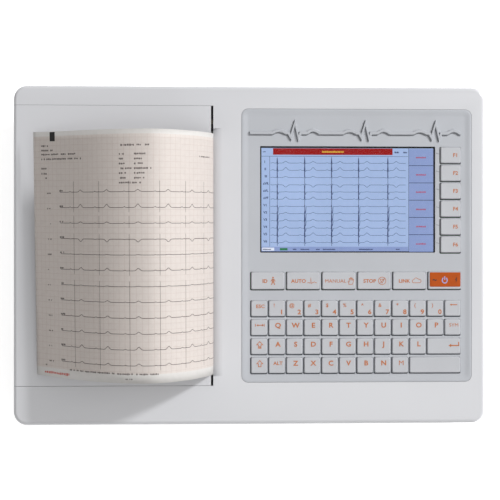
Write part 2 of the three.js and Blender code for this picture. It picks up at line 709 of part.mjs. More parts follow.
function printedSheet() {
  const line = sheetLine().filter((point, i, all) => i === 0 || point.distanceTo(all[i - 1]) > 0.5);
  const half = SHEET_THICKNESS / 2;
  const offset = (side) => line.map((point, i) => {
    const before = line[Math.max(i - 1, 0)];
    const after = line[Math.min(i + 1, line.length - 1)];
    const along = after.clone().sub(before).normalize();
    return new THREE.Vector2(point.x - side * half * along.y, point.y + side * half * along.x);
  });
  return alongY(new THREE.Shape([...offset(-1), ...offset(1).reverse()]), PAPER_Y);
}

add(deck, 'paper_tray', paperTray(), greyPlastic());
add(deck, 'paper_pack',
  box([PACK_RIGHT - PACK_LENGTH, PACK_RIGHT], PAPER_Y, [TRAY_FLOOR + GAP, PACK_TOP]),
  plastic(0xefe6e4, 0.8));
add(deck, 'printed_sheet', printedSheet(), plastic(0xf0e8e6, 0.7));

// ---- Control panel, display and keys --------------------------------------------------

const FUNCTION_FRAMES = [];
const COMMAND_FRAMES = [];
const LETTER_FRAMES = [];

for (let i = 0; i < FUNCTION_KEYS.count; i++) {
  const { left, top, pitch, width, height } = FUNCTION_KEYS;
  FUNCTION_FRAMES.push({
    name: `f${i + 1}`,
    x: [left, left + width],
    y: [top - i * pitch - height, top - i * pitch],
  });
}
COMMAND_KEYS.forEach((name, i) => {
  const left = KEYS_LEFT + i * COMMAND_KEY.pitch;
  COMMAND_FRAMES.push({
    name,
    x: [left, left + COMMAND_KEY.width],
    y: [COMMAND_KEY.top - COMMAND_KEY.height, COMMAND_KEY.top],
  });
});
KEY_ROWS.forEach((row, i) => {
  const top = LETTER_KEY.top - i * LETTER_KEY.pitchY;
  for (const [first, last] of row) {
    LETTER_FRAMES.push({
      x: [
        KEYS_LEFT + first * LETTER_KEY.pitchX,
        KEYS_LEFT + last * LETTER_KEY.pitchX + LETTER_KEY.width,
      ],
      y: [top - LETTER_KEY.height, top],
    });
  }
});

const KEY_TAPER = 0.8;
const KEY_FLANGE = { side: 0.9, end: 0.35, bottom: -4.2 };
const PLUNGER = { radius: 2, bottom: -5.4 };
const MAT_X = grow(WELL_X, -0.5);
const MAT_Y = [-107.5, -37.5];
const MAT_BOTTOM = -4.4;
const MAT_RIBS = { fronts: [-107.5, -89.9, -73, -56.2, -39.5], thickness: 2 };

function keyCap({ x, y }, bottom) {
  return loft([[0, bottom], [KEY_TAPER, KEY_TOP]].map(([inset, height]) =>
    roundedRing(grow(x, -inset), grow(y, -inset), KEY_RADIUS, height)));
}

// A raised heartbeat trace across the top of the panel.
function reliefTrace() {
  const [left, right, baseline, half] = [-1, 187.2, 108, 1.5];
  const beats = 3;
  const spacing = (right - left) / beats;
  const line = [[left, baseline]];
  for (let beat = 0; beat < beats; beat++) {
    const x = left + beat * spacing;
    line.push(
      [x + 22, baseline], [x + 26, baseline + 2], [x + 30, baseline], [x + 34, baseline],
      [x + 36, 104.6], [x + 39, 116.5], [x + 42, 104.6], [x + 44, baseline],
      [x + 50, baseline], [x + 54, baseline + 3], [x + 58, baseline]);
  }
  line.push([right, baseline]);
  const points = line.map(([x, y]) => new THREE.Vector2(x, y));
  const outline = [
    ...points.map((p) => new THREE.Vector2(p.x, p.y - half)),
    ...points.map((p) => new THREE.Vector2(p.x, p.y + half)).reverse(),
  ];
  const sunk = 0.4;
  const depth = sunk + PANEL_EDGE_Z - PANEL_FIELD_Z;
  return new THREE.ExtrudeGeometry(new THREE.Shape(outline), { depth, bevelEnabled: false })
    .translate(0, 0, PANEL_FIELD_Z - sunk);
}

function controlPanel() {
  const plate = loft([
    roundedRing(PANEL_X, PANEL_Y, PANEL_RADIUS, PANEL_UNDER_Z, CASING_STEPS),
    roundedRing(PANEL_X, PANEL_Y, PANEL_RADIUS, PANEL_EDGE_Z, CASING_STEPS),
  ]);
  const level = (inset, radius, height) =>
    roundedRing(grow(PANEL_X, -inset), grow(PANEL_Y, -inset), radius, height, CASING_STEPS);
  const dish = loft([
    level(PANEL_BORDER, 2, PANEL_FIELD_Z),
    level(PANEL_RIM, PANEL_RADIUS - PANEL_RIM, PANEL_EDGE_Z + 0.1),
  ]);
  const through = [PANEL_UNDER_Z - 2, 5];
  const frames = [...FUNCTION_FRAMES, ...COMMAND_FRAMES, ...LETTER_FRAMES];
  const holes = frames.map(({ x, y }) =>
    box(grow(x, KEY_CLEARANCE), grow(y, KEY_CLEARANCE), through));
  return cut(join(cut(plate, dish), reliefTrace()), box(WINDOW_X, WINDOW_Y, through), ...holes);
}

function pressedKey(frame) {
  const { side, end, bottom } = KEY_FLANGE;
  const inside = PANEL_UNDER_Z - GAP;
  const flange = box(grow(frame.x, side), grow(frame.y, end), [bottom, inside]);
  const middle = [(frame.x[0] + frame.x[1]) / 2, (frame.y[0] + frame.y[1]) / 2];
  const plunger = rod('z', PLUNGER.radius, [PLUNGER.bottom, bottom + 0.1], middle, 10);
  return join(keyCap(frame, bottom + 0.2), flange, plunger);
}

const BOARD_TOP = -6.8;
const BOARD_THICKNESS = 1.6;

// All of the keyboard's keys, moulded on one flexible sheet that stands on ribs.
function keypadMat() {
  const sheet = box(MAT_X, MAT_Y, [MAT_BOTTOM, PANEL_UNDER_Z - GAP]);
  const ribs = MAT_RIBS.fronts.map((y) =>
    box(MAT_X, [y, y + MAT_RIBS.thickness], [BOARD_TOP + GAP, MAT_BOTTOM + 0.4]));
  return join(sheet, ...ribs, ...LETTER_FRAMES.map((frame) => keyCap(frame, -3.5)));
}

function keyboardBoard() {
  const z = [BOARD_TOP - BOARD_THICKNESS, BOARD_TOP];
  return join(box(MAT_X, [-107.5, -12], z), box([168, MAT_X[1]], [-13, 98.5], z));
}

add(deck, 'control_panel', controlPanel(), greyPlastic());
add(deck, 'display_window',
  box(grow(WINDOW_X, -GAP), grow(WINDOW_Y, -GAP), LENS_Z), plastic(0xa9c3ee, 0.1));
add(deck, 'lcd_module', join(
  box([5, 166.5], [-2, 100.5], [-13, -4.6]),
  box([7, 165.4], [1, 98], [-5, -3.2])), metal(0x9da2a8, 0.45));
add(deck, 'keypad_mat', keypadMat(), plastic(0xc0c3c9, 0.6));
add(deck, 'keyboard_board', keyboardBoard(), circuitBoard());
for (const frame of [...FUNCTION_FRAMES, ...COMMAND_FRAMES]) {
  const colour = frame.name === 'power' ? 0xd9662c : 0xc0c3c9;
  add(deck, `key_${frame.name}`, pressedKey(frame), plastic(colour, 0.55));
}

// ---- Electronics ----------------------------------------------------------------------

// A circuit board with its larger components, each given as [x, y, height].
function board(x, y, z, components) {
  return join(
    box(x, y, [z, z + BOARD_THICKNESS]),
    ...components.map(([cx, cy, height]) => box(cx, cy, [z + 1, z + BOARD_THICKNESS + height])));
}

add(machine, 'main_board', board([25, 186], [-95, 26], BOARD_Z, [
  [[70, 98], [-50, -22], 2],
  [[108, 124], [-48, -30], 1.4],
  [[108, 124], [-24, -6], 1.4],
  [[34, 40], [-80, -30], 8],
  [[60, 110], [14, 22], 8],
  [[140, 160], [0, 14], 6],
]), circuitBoard());
add(machine, 'power_supply_board', board([64, 184], [46, 112], BOARD_Z, [
  [[110, 142], [60, 88], 24],
  [[150, 168], [56, 74], 20],
  [[84, 100], [56, 98], 16],
  [[148, 176], [88, 104], 14],
]), plastic(0x8a6a3a, 0.6));
add(machine, 'ecg_front_end_board', board([140, 193], [-90, -28], 46, [
  [[148, 186], [-84, -36], 3.6],
]), circuitBoard());
add(machine, 'battery_pack',
  box(grow(BATTERY_X, -4), grow(BATTERY_Y, -4), [6.2, BATTERY_WALL.top - 1]), plastic(0x2c5aa0, 0.5));
add(machine, 'battery_door', join(
  box(grow(BATTERY_X, -GAP), grow(BATTERY_Y, -GAP), [3.2, 5.6]),
  box([80, 100], [13, 19], [2.6, 4])), whitePlastic());
add(machine, 'speaker', turned([
  [0, 7.4], [17, 7.4], [17, 6.4], [20, 6.4], [20, 8.4], [11, 15], [11, 22], [0, 22],
], SPEAKER, 18), blackPlastic());

// ---- Sockets --------------------------------------------------------------------------

const FACE_Y = 149.2;
const COLD_SOCKET = { x: [124, 149], z: [44.5, 61.5], y: [130, 160] };
const FUSE_BAY = { x: [153, 165.5], z: [46, 60], y: [120, 160] };
const INLET_FLANGE = 3;
const INLET_BODY_Y = [116, 147];
const PINS = { places: [[129.5, 50], [136.5, 56], [143.5, 50]], halfWidth: 1, halfHeight: 2, tip: 145.5 };
const FUSE = { radius: 2.5, y: [124.6, 144.6], centre: [159.25, 53] };

function mainsInlet() {
  const body = join(
    box(grow(MAINS_X, -GAP), [FACE_Y - INLET_FLANGE, FACE_Y], grow(MAINS_Z, -GAP)),
    box(grow(MAINS_X, -INLET_FLANGE), INLET_BODY_Y, grow(MAINS_Z, -INLET_FLANGE)));
  const hollowed = cut(
    body,
    box(COLD_SOCKET.x, COLD_SOCKET.y, COLD_SOCKET.z),
    box(FUSE_BAY.x, FUSE_BAY.y, FUSE_BAY.z));
  const pins = PINS.places.map(([x, z]) =>
    box(around(x, PINS.halfWidth), [COLD_SOCKET.y[0] - 2, PINS.tip], around(z, PINS.halfHeight)));
  return join(hollowed, ...pins);
}

function fuseDrawer() {
  return cut(
    box(grow(FUSE_BAY.x, -GAP), [121, FACE_Y], grow(FUSE_BAY.z, -GAP)),
    box([156, 162.5], [124, 145.5], [50, 70]),
    box([156, 162.5], [FACE_Y - 1, 160], [46, 48]));
}

function lanPort() {
  return cut(
    box(LAN_X, [128, FACE_Y], LAN_Z),
    box([72, 84], [135, 160], [42.5, 51]),
    box([75.5, 80.5], [135, 160], [41.3, 43]));
}

function usbPort() {
  const [back, floor] = [132, 136];
  const shell = cut(
    box(USB_X, [back, FACE_Y], USB_Z),
    box(grow(USB_X, -1), [floor, 160], grow(USB_Z, -1)));
  const tongue = box(grow(USB_X, -2), [floor - 1, FACE_Y - 1.5], [44.6, 46.2]);
  return join(shell, tongue);
}

// A threaded stud with a nut on each side of the cup's floor.
function groundStud() {
  const nutRadius = 5.5;
  return join(
    rod('y', 3, [132, 147.5], STUD),
    rod('y', nutRadius, [CUP.floor + GAP, CUP.floor + 2.5], STUD, 6),
    rod('y', nutRadius, [CUP.back - 4, CUP.back - GAP], STUD, 6));
}

function patientConnector() {
  const { y, z, halfWidth, halfHeight, jack, jackRadius } = PATIENT;
  const [back, plate, front] = [195, 204, 205.2];
  const shell = box([front - 0.2, 209.2], around(y, halfWidth), around(z, halfHeight));
  const body = box([back, plate + 0.2], around(y, halfWidth + 1), around(z, 5));
  const jacks = [-jack, jack].map((offset) => rod('x', jackRadius, [front - 0.2, 209], [y + offset, z], 6));
  return join(box([plate, front], around(y, 20), around(z, 6.5)), shell, body, ...jacks);
}

add(machine, 'mains_inlet', mainsInlet(), blackPlastic());
add(machine, 'fuse_drawer', fuseDrawer(), blackPlastic());
add(machine, 'mains_fuse', rod('y', FUSE.radius, FUSE.y, FUSE.centre, 12), metal(0xc8ccd0, 0.3));
add(machine, 'ground_stud', groundStud(), brass());
add(machine, 'lan_port', lanPort(), metal(0xb8bbc0, 0.3));
add(machine, 'usb_port', usbPort(), metal(0xb8bbc0, 0.3));
add(machine, 'patient_connector', patientConnector(), metal(0xa8abb0, 0.35));

export default machine;
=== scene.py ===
"""Looks of a desktop ECG machine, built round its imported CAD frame.

Pieces are drawn in millimetres, either in the row frame (x to the right, y to the rear, z up)
or in the deck's frame (x to the right, y up the slope, z out of the deck, zero on its surface),
and are turned into metres when they are placed.
"""

import json
import math
import random

import bpy
from mathutils import Matrix, Vector


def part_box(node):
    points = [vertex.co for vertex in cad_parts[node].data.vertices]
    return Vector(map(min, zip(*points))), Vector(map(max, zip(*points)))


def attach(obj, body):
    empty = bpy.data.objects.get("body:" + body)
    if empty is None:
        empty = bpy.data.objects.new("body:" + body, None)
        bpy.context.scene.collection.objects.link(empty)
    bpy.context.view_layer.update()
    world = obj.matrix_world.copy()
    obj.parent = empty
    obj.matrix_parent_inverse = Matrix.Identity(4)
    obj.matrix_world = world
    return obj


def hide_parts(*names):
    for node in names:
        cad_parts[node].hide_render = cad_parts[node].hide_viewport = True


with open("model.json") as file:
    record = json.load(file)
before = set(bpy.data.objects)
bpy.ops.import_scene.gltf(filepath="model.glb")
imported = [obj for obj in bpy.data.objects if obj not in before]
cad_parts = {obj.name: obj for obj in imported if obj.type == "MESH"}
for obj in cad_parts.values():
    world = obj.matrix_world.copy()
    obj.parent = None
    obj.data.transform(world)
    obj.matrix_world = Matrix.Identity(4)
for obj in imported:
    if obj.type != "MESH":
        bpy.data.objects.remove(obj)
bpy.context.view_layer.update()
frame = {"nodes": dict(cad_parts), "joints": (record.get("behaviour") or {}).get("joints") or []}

# ---- Frame and driving dimensions, in millimetres --------------------------------------

MM = 0.001
joints = {joint["name"]: joint for joint in frame["joints"]}
press_axis = joints["press_f1"]["axis"]
SLOPE = math.atan2(press_axis[1], -press_axis[2])
DECK_MID_Z = 74.0
DECK = Matrix.Translation((0, 0, DECK_MID_Z)) @ Matrix.Rotation(SLOPE, 4, "X")
ROW = Matrix.Identity(4)

WIDTH, DEPTH = 420.0, 300.0
CORNER_RADIUS = 13.0
WALL = 3.0
DECK_THICKNESS = 4.0
EDGE_RADIUS = 3.5
DRAFT = 1.0
PARTING_Z = 30.0
GAP = 0.3
SEAM = 0.15

DOOR_EDGE_X = -35.3
DECK_EDGE_X = -33.3
DOOR_Y = (-115.2, 131.9)
REAR_SEAM = 0.2
# Cutters run past the casing as far as these planes.
PAST_LEFT, PAST_RIGHT, PAST_REAR = -230.0, 220.0, 160.0
PANEL_X = (-8.3, 196.7)
PANEL_Y = (-112.7, 129.5)
PANEL_BORDER = 6.5
PANEL_CORNER = 6
PANEL_RIM_Z = -0.1
PANEL_FIELD_Z = -0.75
PANEL_UNDER_Z = -2.6
WINDOW_X = (8.2, 164.3)
WINDOW_Y = (2.2, 96.6)
KEY_TOP, KEY_BOTTOM = 0.3, -4.0
# Gaps round each key: a wide one at its left and front, and a narrow one at its right and rear.
KEY_GROOVE, KEY_GAP = 0.85, 0.2

SCREEN_X = (9.4, 162.9)
SCREEN_Y = (3.3, 95.1)
SCREEN_Z = -2.75

PLATEN_X, PLATEN_Z = -41.6, -14.0
PLATEN_CENTRE = (PLATEN_X, 0, PLATEN_Z)
CORNERS = ("front_left", "front_right", "rear_left", "rear_right")


def deck_height(y):
    """Height of the deck's surface over a point of the row frame."""
    return DECK_MID_Z + y * math.tan(SLOPE)


def deck_box(node):
    """A CAD node's spans in x, y and z in the deck's frame, in millimetres."""
    to_deck = DECK.inverted() @ Matrix.Scale(1 / MM, 4)
    points = [to_deck @ vertex.co for vertex in frame["nodes"][node].data.vertices]
    return [(min(p[i] for p in points), max(p[i] for p in points)) for i in range(3)]


def row_box(node):
    """A CAD node's spans in x, y and z in the row frame, in millimetres."""
    low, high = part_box(node)
    return list(zip(low / MM, high / MM))


def row_centre(node):
    """The middle of a CAD node's box in the row frame, in millimetres."""
    return [sum(span) / 2 for span in row_box(node)]


# ---- Mesh helpers ----------------------------------------------------------------------


def draft(name, verts, faces, space=ROW):
    """A mesh object still in millimetres, in the row frame."""
    mesh = bpy.data.meshes.new(name)
    mesh.from_pydata([tuple(v) for v in verts], [], faces)
    mesh.transform(space)
    mesh.update()
    thing = bpy.data.objects.new(name, mesh)
    bpy.context.scene.collection.objects.link(thing)
    return thing


def settle(thing):
    """Applies the object's modifiers to its mesh."""
    bpy.context.view_layer.update()
    evaluated = thing.evaluated_get(bpy.context.evaluated_depsgraph_get())
    mesh = bpy.data.meshes.new_from_object(evaluated)
    thing.modifiers.clear()
    thing.data = mesh
    return thing


def boolean(thing, operation, tools):
    """Cuts, joins or intersects the object with the tools, which are used up."""
    for tool in tools:
        modifier = thing.modifiers.new("boolean", "BOOLEAN")
        modifier.operation = operation
        modifier.solver = "EXACT"
        modifier.object = tool
    settle(thing)
    for tool in tools:
        bpy.data.objects.remove(tool)
    return thing


def soften(thing, width, angle=32):
    """Rounds the sharp edges and keeps flat faces flat."""
    modifier = thing.modifiers.new("bevel", "BEVEL")
    modifier.width = width
    modifier.segments = 2
    modifier.limit_method = "ANGLE"
    modifier.angle_limit = math.radians(angle)
    modifier.harden_normals = True
    modifier.use_clamp_overlap = True
    thing.data.polygons.foreach_set("use_smooth", [True] * len(thing.data.polygons))
    return settle(thing)


def smooth_quads(thing):
    """Smooths the walls and rims of lofted bodies and keeps their many-sided ends flat."""
    thing.data.polygons.foreach_set("use_smooth", [len(p.vertices) == 4 for p in thing.data.polygons])
    return thing


def place(thing, body, material, slot, *nodes):
    """Turns the finished piece into metres and hands it to the frame."""
    thing.data.transform(Matrix.Scale(MM, 4))
    thing.data.materials.clear()
    thing.data.materials.append(material)
    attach(thing, body)
    if nodes:
        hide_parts(*nodes)
    return thing


def rounded_ring(x, y, radius, height, steps=8):
    """One level of a rounded rectangle, anticlockwise. height is a number or a function of y."""
    corners = (
        (x[1] - radius, y[1] - radius),
        (x[0] + radius, y[1] - radius),
        (x[0] + radius, y[0] + radius),
        (x[1] - radius, y[0] + radius),
    )
    ring = []
    for corner, (cx, cy) in enumerate(corners):
        for step in range(steps + 1):
            angle = (corner + step / steps) * math.pi / 2
            px, py = cx + radius * math.cos(angle), cy + radius * math.sin(angle)
            ring.append((px, py, height(py) if callable(height) else height))
    return ring


def grow(span, amount):
    """A span made longer by amount at both ends."""
    return span[0] - amount, span[1] + amount


def around(centre, half):
    """The span from half below the centre to half above it."""
    return centre - half, centre + half


def loft(rings):
    """Vertices and faces of a closed body through rings of equal length, lowest first."""
    count = len(rings[0])
    verts = [point for ring in rings for point in ring]
    faces = [tuple(reversed(range(count))), tuple(range(len(verts) - count, len(verts)))]
    for start in range(0, len(verts) - count, count):
        for i in range(count):
            a, b = start + i, start + (i + 1) % count
            faces.append((a, b, b + count, a + count))
    return verts, faces


def block(name, x, y, z, space=ROW, radius=0.0, steps=4):
    """A box, or a box with rounded upright edges."""
    if radius:
        rings = [rounded_ring(x, y, radius, height, steps) for height in z]
    else:
        corners = ((x[1], y[1]), (x[0], y[1]), (x[0], y[0]), (x[1], y[0]))
        rings = [[(*corner, height) for corner in corners] for height in z]
    return draft(name, *loft(rings), space)


AXES = {
    "x": Matrix.Rotation(math.pi / 2, 4, "Y"),
    "y": Matrix.Rotation(-math.pi / 2, 4, "X"),
    "z": Matrix.Identity(4),
}


def turned(name, profile, centre, axis="z", space=ROW, steps=48):
    """A body turned about an axis through centre. The profile is a list of (radius, height)."""
    angles = [2 * math.pi * i / steps for i in range(steps)]
    rings = [[(r * math.cos(a), r * math.sin(a), height) for a in angles] for r, height in profile]
    return draft(name, *loft(rings), space @ Matrix.Translation(centre) @ AXES[axis])


def merge(name, things):
    """One object from several."""
    verts, faces = [], []
    for thing in things:
        start = len(verts)
        verts += [tuple(v.co) for v in thing.data.vertices]
        faces += [tuple(start + i for i in p.vertices) for p in thing.data.polygons]
        bpy.data.objects.remove(thing)
    return draft(name, verts, faces)


class Ink:
    """Thin raised marks on a surface, which is a function of (x, y, lift) in millimetres."""

    def __init__(self, surface, thickness):
        self.surface, self.thickness = surface, thickness
        self.verts, self.faces = [], []

    def outline(self, points):
        """A filled outline."""
        area = sum(a[0] * b[1] - b[0] * a[1] for a, b in zip(points, points[1:] + points[:1]))
        points = points if area > 0 else points[::-1]
        start, count = len(self.verts), len(points)
        for lift in (0.0, self.thickness):
            self.verts += [self.surface(x, y, lift) for x, y in points]
        self.faces.append(tuple(reversed(range(start, start + count))))
        self.faces.append(tuple(range(start + count, start + 2 * count)))
        for i in range(count):
            j = (i + 1) % count
            self.faces.append((start + i, start + j, start + count + j, start + count + i))

    def bar(self, x0, y0, x1, y1):
        self.outline([(x0, y0), (x1, y0), (x1, y1), (x0, y1)])

    def disc(self, x, y, radius):
        angles = [math.tau * i / 20 for i in range(20)]
        self.outline([(x + radius * math.cos(a), y + radius * math.sin(a)) for a in angles])

    def stroke(self, points, width, closed=False, slope=0.0):
        """A line of even width, as one strip with mitred corners and sides that may slope."""
        count = len(points)
        start = len(self.verts)
        for i, (x, y) in enumerate(points):
            before = points[i - 1] if i or closed else points[i]
            after = points[(i + 1) % count] if i < count - 1 or closed else points[i]
            into = Vector((x - before[0], y - before[1]))
            out = Vector((after[0] - x, after[1] - y))
            into = (into if into.length > 1e-9 else out).normalized()
            out = (out if out.length > 1e-9 else into).normalized()
            along = (into + out).normalized() if (into + out).length > 1e-6 else out
            mitre = max(0.45, along.dot(out))
            for lift, half in ((0.0, width / 2), (self.thickness, width / 2 - slope)):
                px, py = along.y * half / mitre, along.x * half / mitre
                self.verts += [self.surface(x - px, y + py, lift), self.surface(x + px, y - py, lift)]
        for i in range(count if closed else count - 1):
            a, b = start + 4 * i, start + 4 * ((i + 1) % count)
            self.faces.append((a + 2, a + 3, b + 3, b + 2))
            self.faces.append((a, b, b + 1, a + 1))
            self.faces.append((a, a + 2, b + 2, b))
            self.faces.append((a + 1, b + 1, b + 3, a + 3))
        if not closed:
            a, b = start, start + 4 * (count - 1)
            self.faces.append((a, a + 1, a + 3, a + 2))
            self.faces.append((b, b + 2, b + 3, b + 1))

    def ring(self, x, y, radius, width, first=0, last=360, squash=1.0):
        """A line round a circle or an ellipse, whole or between two angles in degrees."""
        steps = max(8, round((last - first) / 12))
        angles = [math.radians(first + (last - first) * i / steps) for i in range(steps + 1)]
        points = [(x + radius * math.cos(a), y + radius * squash * math.sin(a)) for a in angles]
        whole = last - first == 360
        self.stroke(points[:-1] if whole else points, width, closed=whole)

    def text(self, words, x, y, height, weight=0.02, stretch=1.0):
        """Letters of that cap height, centred on (x, y)."""
        curve = bpy.data.curves.new("letters", "FONT")
        curve.body = words
        curve.align_x = "CENTER"
        curve.size = height / 0.72
        curve.offset = 0.0 if "M" in words else weight * height
        curve.extrude = 0.5
        curve.resolution_u = 3
        thing = bpy.data.objects.new("letters", curve)
        bpy.context.scene.collection.objects.link(thing)
        bpy.context.view_layer.update()
        mesh = bpy.data.meshes.new_from_object(thing.evaluated_get(bpy.context.evaluated_depsgraph_get()))
        start = len(self.verts)
        for vertex in mesh.vertices:
            lift = self.thickness if vertex.co.z > 0 else 0.0
            self.verts.append(self.surface(x + stretch * vertex.co.x, y - height / 2 + vertex.co.y, lift))
        self.faces += [tuple(start + i for i in p.vertices) for p in mesh.polygons]
        bpy.data.objects.remove(thing)

    def made(self, name):
        return draft(name, self.verts, self.faces)


def on_deck(height):
    """A surface for Ink: a plane parallel to the deck."""
    return lambda x, y, lift: DECK @ Vector((x, y, height + lift))


def extruded(name, surface, thickness, points):
    """A body of even thickness over an outline on a surface."""
    ink = Ink(surface, thickness)
    ink.outline(points)
    return ink.made(name)


# ---- Materials -------------------------------------------------------------------------


def linear(code):
    """Linear colour of an sRGB code such as 'c8603a'."""
    parts = [int(code[i : i + 2], 16) / 255 for i in (0, 2, 4)]
    return tuple(p / 12.92 if p <= 0.04045 else ((p + 0.055) / 1.055) ** 2.4 for p in parts)


# Noise seldom falls outside this span, so colours and roughness run between its ends.
NOISE_SPAN = (0.3, 0.7)
# Upward slopes of a face that count as quite upright and as quite level.
LEVEL_SPAN = (0.05, 0.45)


class Nodes:
    """A material's node tree, with the few kinds of node that these materials share."""

    def __init__(self, name):
        self.material = bpy.data.materials.new(name)
        self.material.use_nodes = True
        self.tree = self.material.node_tree
        self.tree.nodes.clear()
        self.shader = self.add("ShaderNodeBsdfPrincipled")
        output = self.add("ShaderNodeOutputMaterial")
        self.link(self.shader.outputs["BSDF"], output.inputs["Surface"])

    def add(self, kind, **values):
        node = self.tree.nodes.new(kind)
        for key, value in values.items():
            setattr(node, key, value)
        return node

    def link(self, source, target):
        self.tree.links.new(source, target)

    def set(self, name, value):
        """Gives a socket of the shader a fixed value, or feeds it from another node's output."""
        socket = self.shader.inputs[name]
        if isinstance(value, bpy.types.NodeSocket):
            self.link(value, socket)
        else:
            socket.default_value = value

    def coordinates(self, kind="Object", stretch=(1, 1, 1)):
        """Coordinates of the surface, with how closely its pattern is packed on each axis."""
        mapping = self.add("ShaderNodeMapping")
        mapping.inputs["Scale"].default_value = stretch
        self.link(self.add("ShaderNodeTexCoord").outputs[kind], mapping.inputs["Vector"])
        return mapping.outputs["Vector"]

    def noise(self, vector, size, detail=3.0):
        """Noise whose blotches are about that many metres across."""
        noise = self.add("ShaderNodeTexNoise")
        noise.inputs["Scale"].default_value = 1 / size
        noise.inputs["Detail"].default_value = detail
        self.link(vector, noise.inputs["Vector"])
        return noise.outputs["Fac"]

    def remap(self, source, old, new=(0, 1)):
        """Maps the span old of a value to the span new."""
        node = self.add("ShaderNodeMapRange")
        for name, value in zip(("From Min", "From Max", "To Min", "To Max"), (*old, *new)):
            node.inputs[name].default_value = value
        self.link(source, node.inputs["Value"])
        return node.outputs["Result"]

    def spread(self, noise, low, high):
        """Values from low to high by a noise."""
        return self.remap(noise, NOISE_SPAN, (low, high))

    def blend(self, noise, low, high):
        """Colours from low to high by a noise."""
        ramp = self.add("ShaderNodeValToRGB")
        for element, position, color in zip(ramp.color_ramp.elements, NOISE_SPAN, (low, high)):
            element.position = position
            element.color = (*color, 1)
        self.link(noise, ramp.inputs["Fac"])
        return ramp.outputs["Color"]

    def math(self, operation, a, b):
        """Arithmetic on numbers or sockets."""
        node = self.add("ShaderNodeMath", operation=operation)
        for socket, value in zip(node.inputs, (a, b)):
            if isinstance(value, (int, float)):
                socket.default_value = value
            else:
                self.link(value, socket)
        return node.outputs[0]

    def mix(self, factor, a, b):
        """A colour between a and b, which are colours or sockets."""
        node = self.add("ShaderNodeMix", data_type="RGBA")
        self.link(factor, node.inputs["Factor"])
        for name, value in (("A", a), ("B", b)):
            socket = next(s for s in node.inputs if s.name == name and s.type == "RGBA")
            if isinstance(value, tuple):
                socket.default_value = (*value, 1)
            else:
                self.link(value, socket)
        return next(s for s in node.outputs if s.type == "RGBA")

    def facing_up(self):
        """0 on an upright face, 1 on one that faces up."""
        slope = self.add("ShaderNodeSeparateXYZ")
        self.link(self.add("ShaderNodeTexCoord").outputs["Normal"], slope.inputs["Vector"])
        return self.remap(slope.outputs["Z"], LEVEL_SPAN)

    def bump(self, height, distance):
        """Relief, whose height is in metres."""
        bump = self.add("ShaderNodeBump")
        bump.inputs["Distance"].default_value = distance
        self.link(height, bump.inputs["Height"])
        self.set("Normal", bump.outputs["Normal"])


def shades(color, low, high):
    """A darker and a lighter tone of a colour."""
    return [tuple(min(1.0, c * factor) for c in color) for factor in (low, high)]


def surface(name, code, roughness, metallic=0.0, tint=0.03, patch=0.03, spread=0.06, grain=0.0008,
            depth=0.00002, stretch=(1, 1, 1), walls=1.0, sockets=()):
    """A material whose colour, roughness and relief vary by noise. patch and grain are the
    sizes of the colour's blotches and of the relief, and depth the relief's height, in metres.
    walls is how much of its brightness an upright face keeps: painted shade that darkens side walls and
    rounded edges."""
    nodes = Nodes(name)
    color = linear(code)
    vector = nodes.coordinates(stretch=stretch)
    clouds = nodes.noise(vector, patch)
    fine = nodes.noise(vector, grain, detail=2.0)
    tone = nodes.blend(clouds, *shades(color, 1 - tint, 1 + tint))
    # Painted shade: upright faces get a darker tone, as if turned away from the light.
    if walls < 1:
        upright = nodes.blend(clouds, *shades(color, walls * (1 - tint), walls * (1 + tint)))
        tone = nodes.mix(nodes.facing_up(), upright, tone)
    nodes.set("Base Color", tone)
    nodes.set("Roughness", nodes.spread(fine, max(0.02, roughness - spread), roughness + spread))
    nodes.set("Metallic", metallic)
    for key, value in dict(sockets).items():
        nodes.set(key, value)
    nodes.bump(fine, depth)
    return nodes.material


def glowing(name, code):
    """A lit part of the display: slightly uneven, like a backlight behind its pixels."""
    nodes = Nodes(name)
    color = linear(code)
    vector = nodes.coordinates()
    clouds = nodes.noise(vector, 0.05, detail=1.0)
    nodes.set("Emission Color", nodes.blend(clouds, *shades(color, 0.94, 1)))
    nodes.set("Emission Strength", 1.0)
    nodes.set("Base Color", nodes.blend(clouds, (0.01, 0.01, 0.012), (0.014, 0.014, 0.016)))
    nodes.set("Roughness", 0.35)
    nodes.set("Specular IOR Level", 0.1)
    return nodes.material


# Both casing materials paint shade on their side walls and rounded edges through walls=0.72.
CASING = surface("casing_gloss_white", "d2d3d7", 0.17, tint=0.012, patch=0.08, spread=0.04,
                 grain=0.0012, depth=0.000004, walls=0.72)
BASE = surface("casing_base_white", "cfcfd2", 0.36, tint=0.02, patch=0.05, spread=0.06,
               grain=0.0007, depth=0.00002, walls=0.72)
PANEL = surface("panel_satin_grey", "b7bac0", 0.42, tint=0.02, patch=0.04, spread=0.05,
                grain=0.0005, depth=0.000012)
KEY = surface("key_matte_grey", "bdbfc4", 0.5, tint=0.02, patch=0.02, spread=0.05,
              grain=0.0004, depth=0.000012)
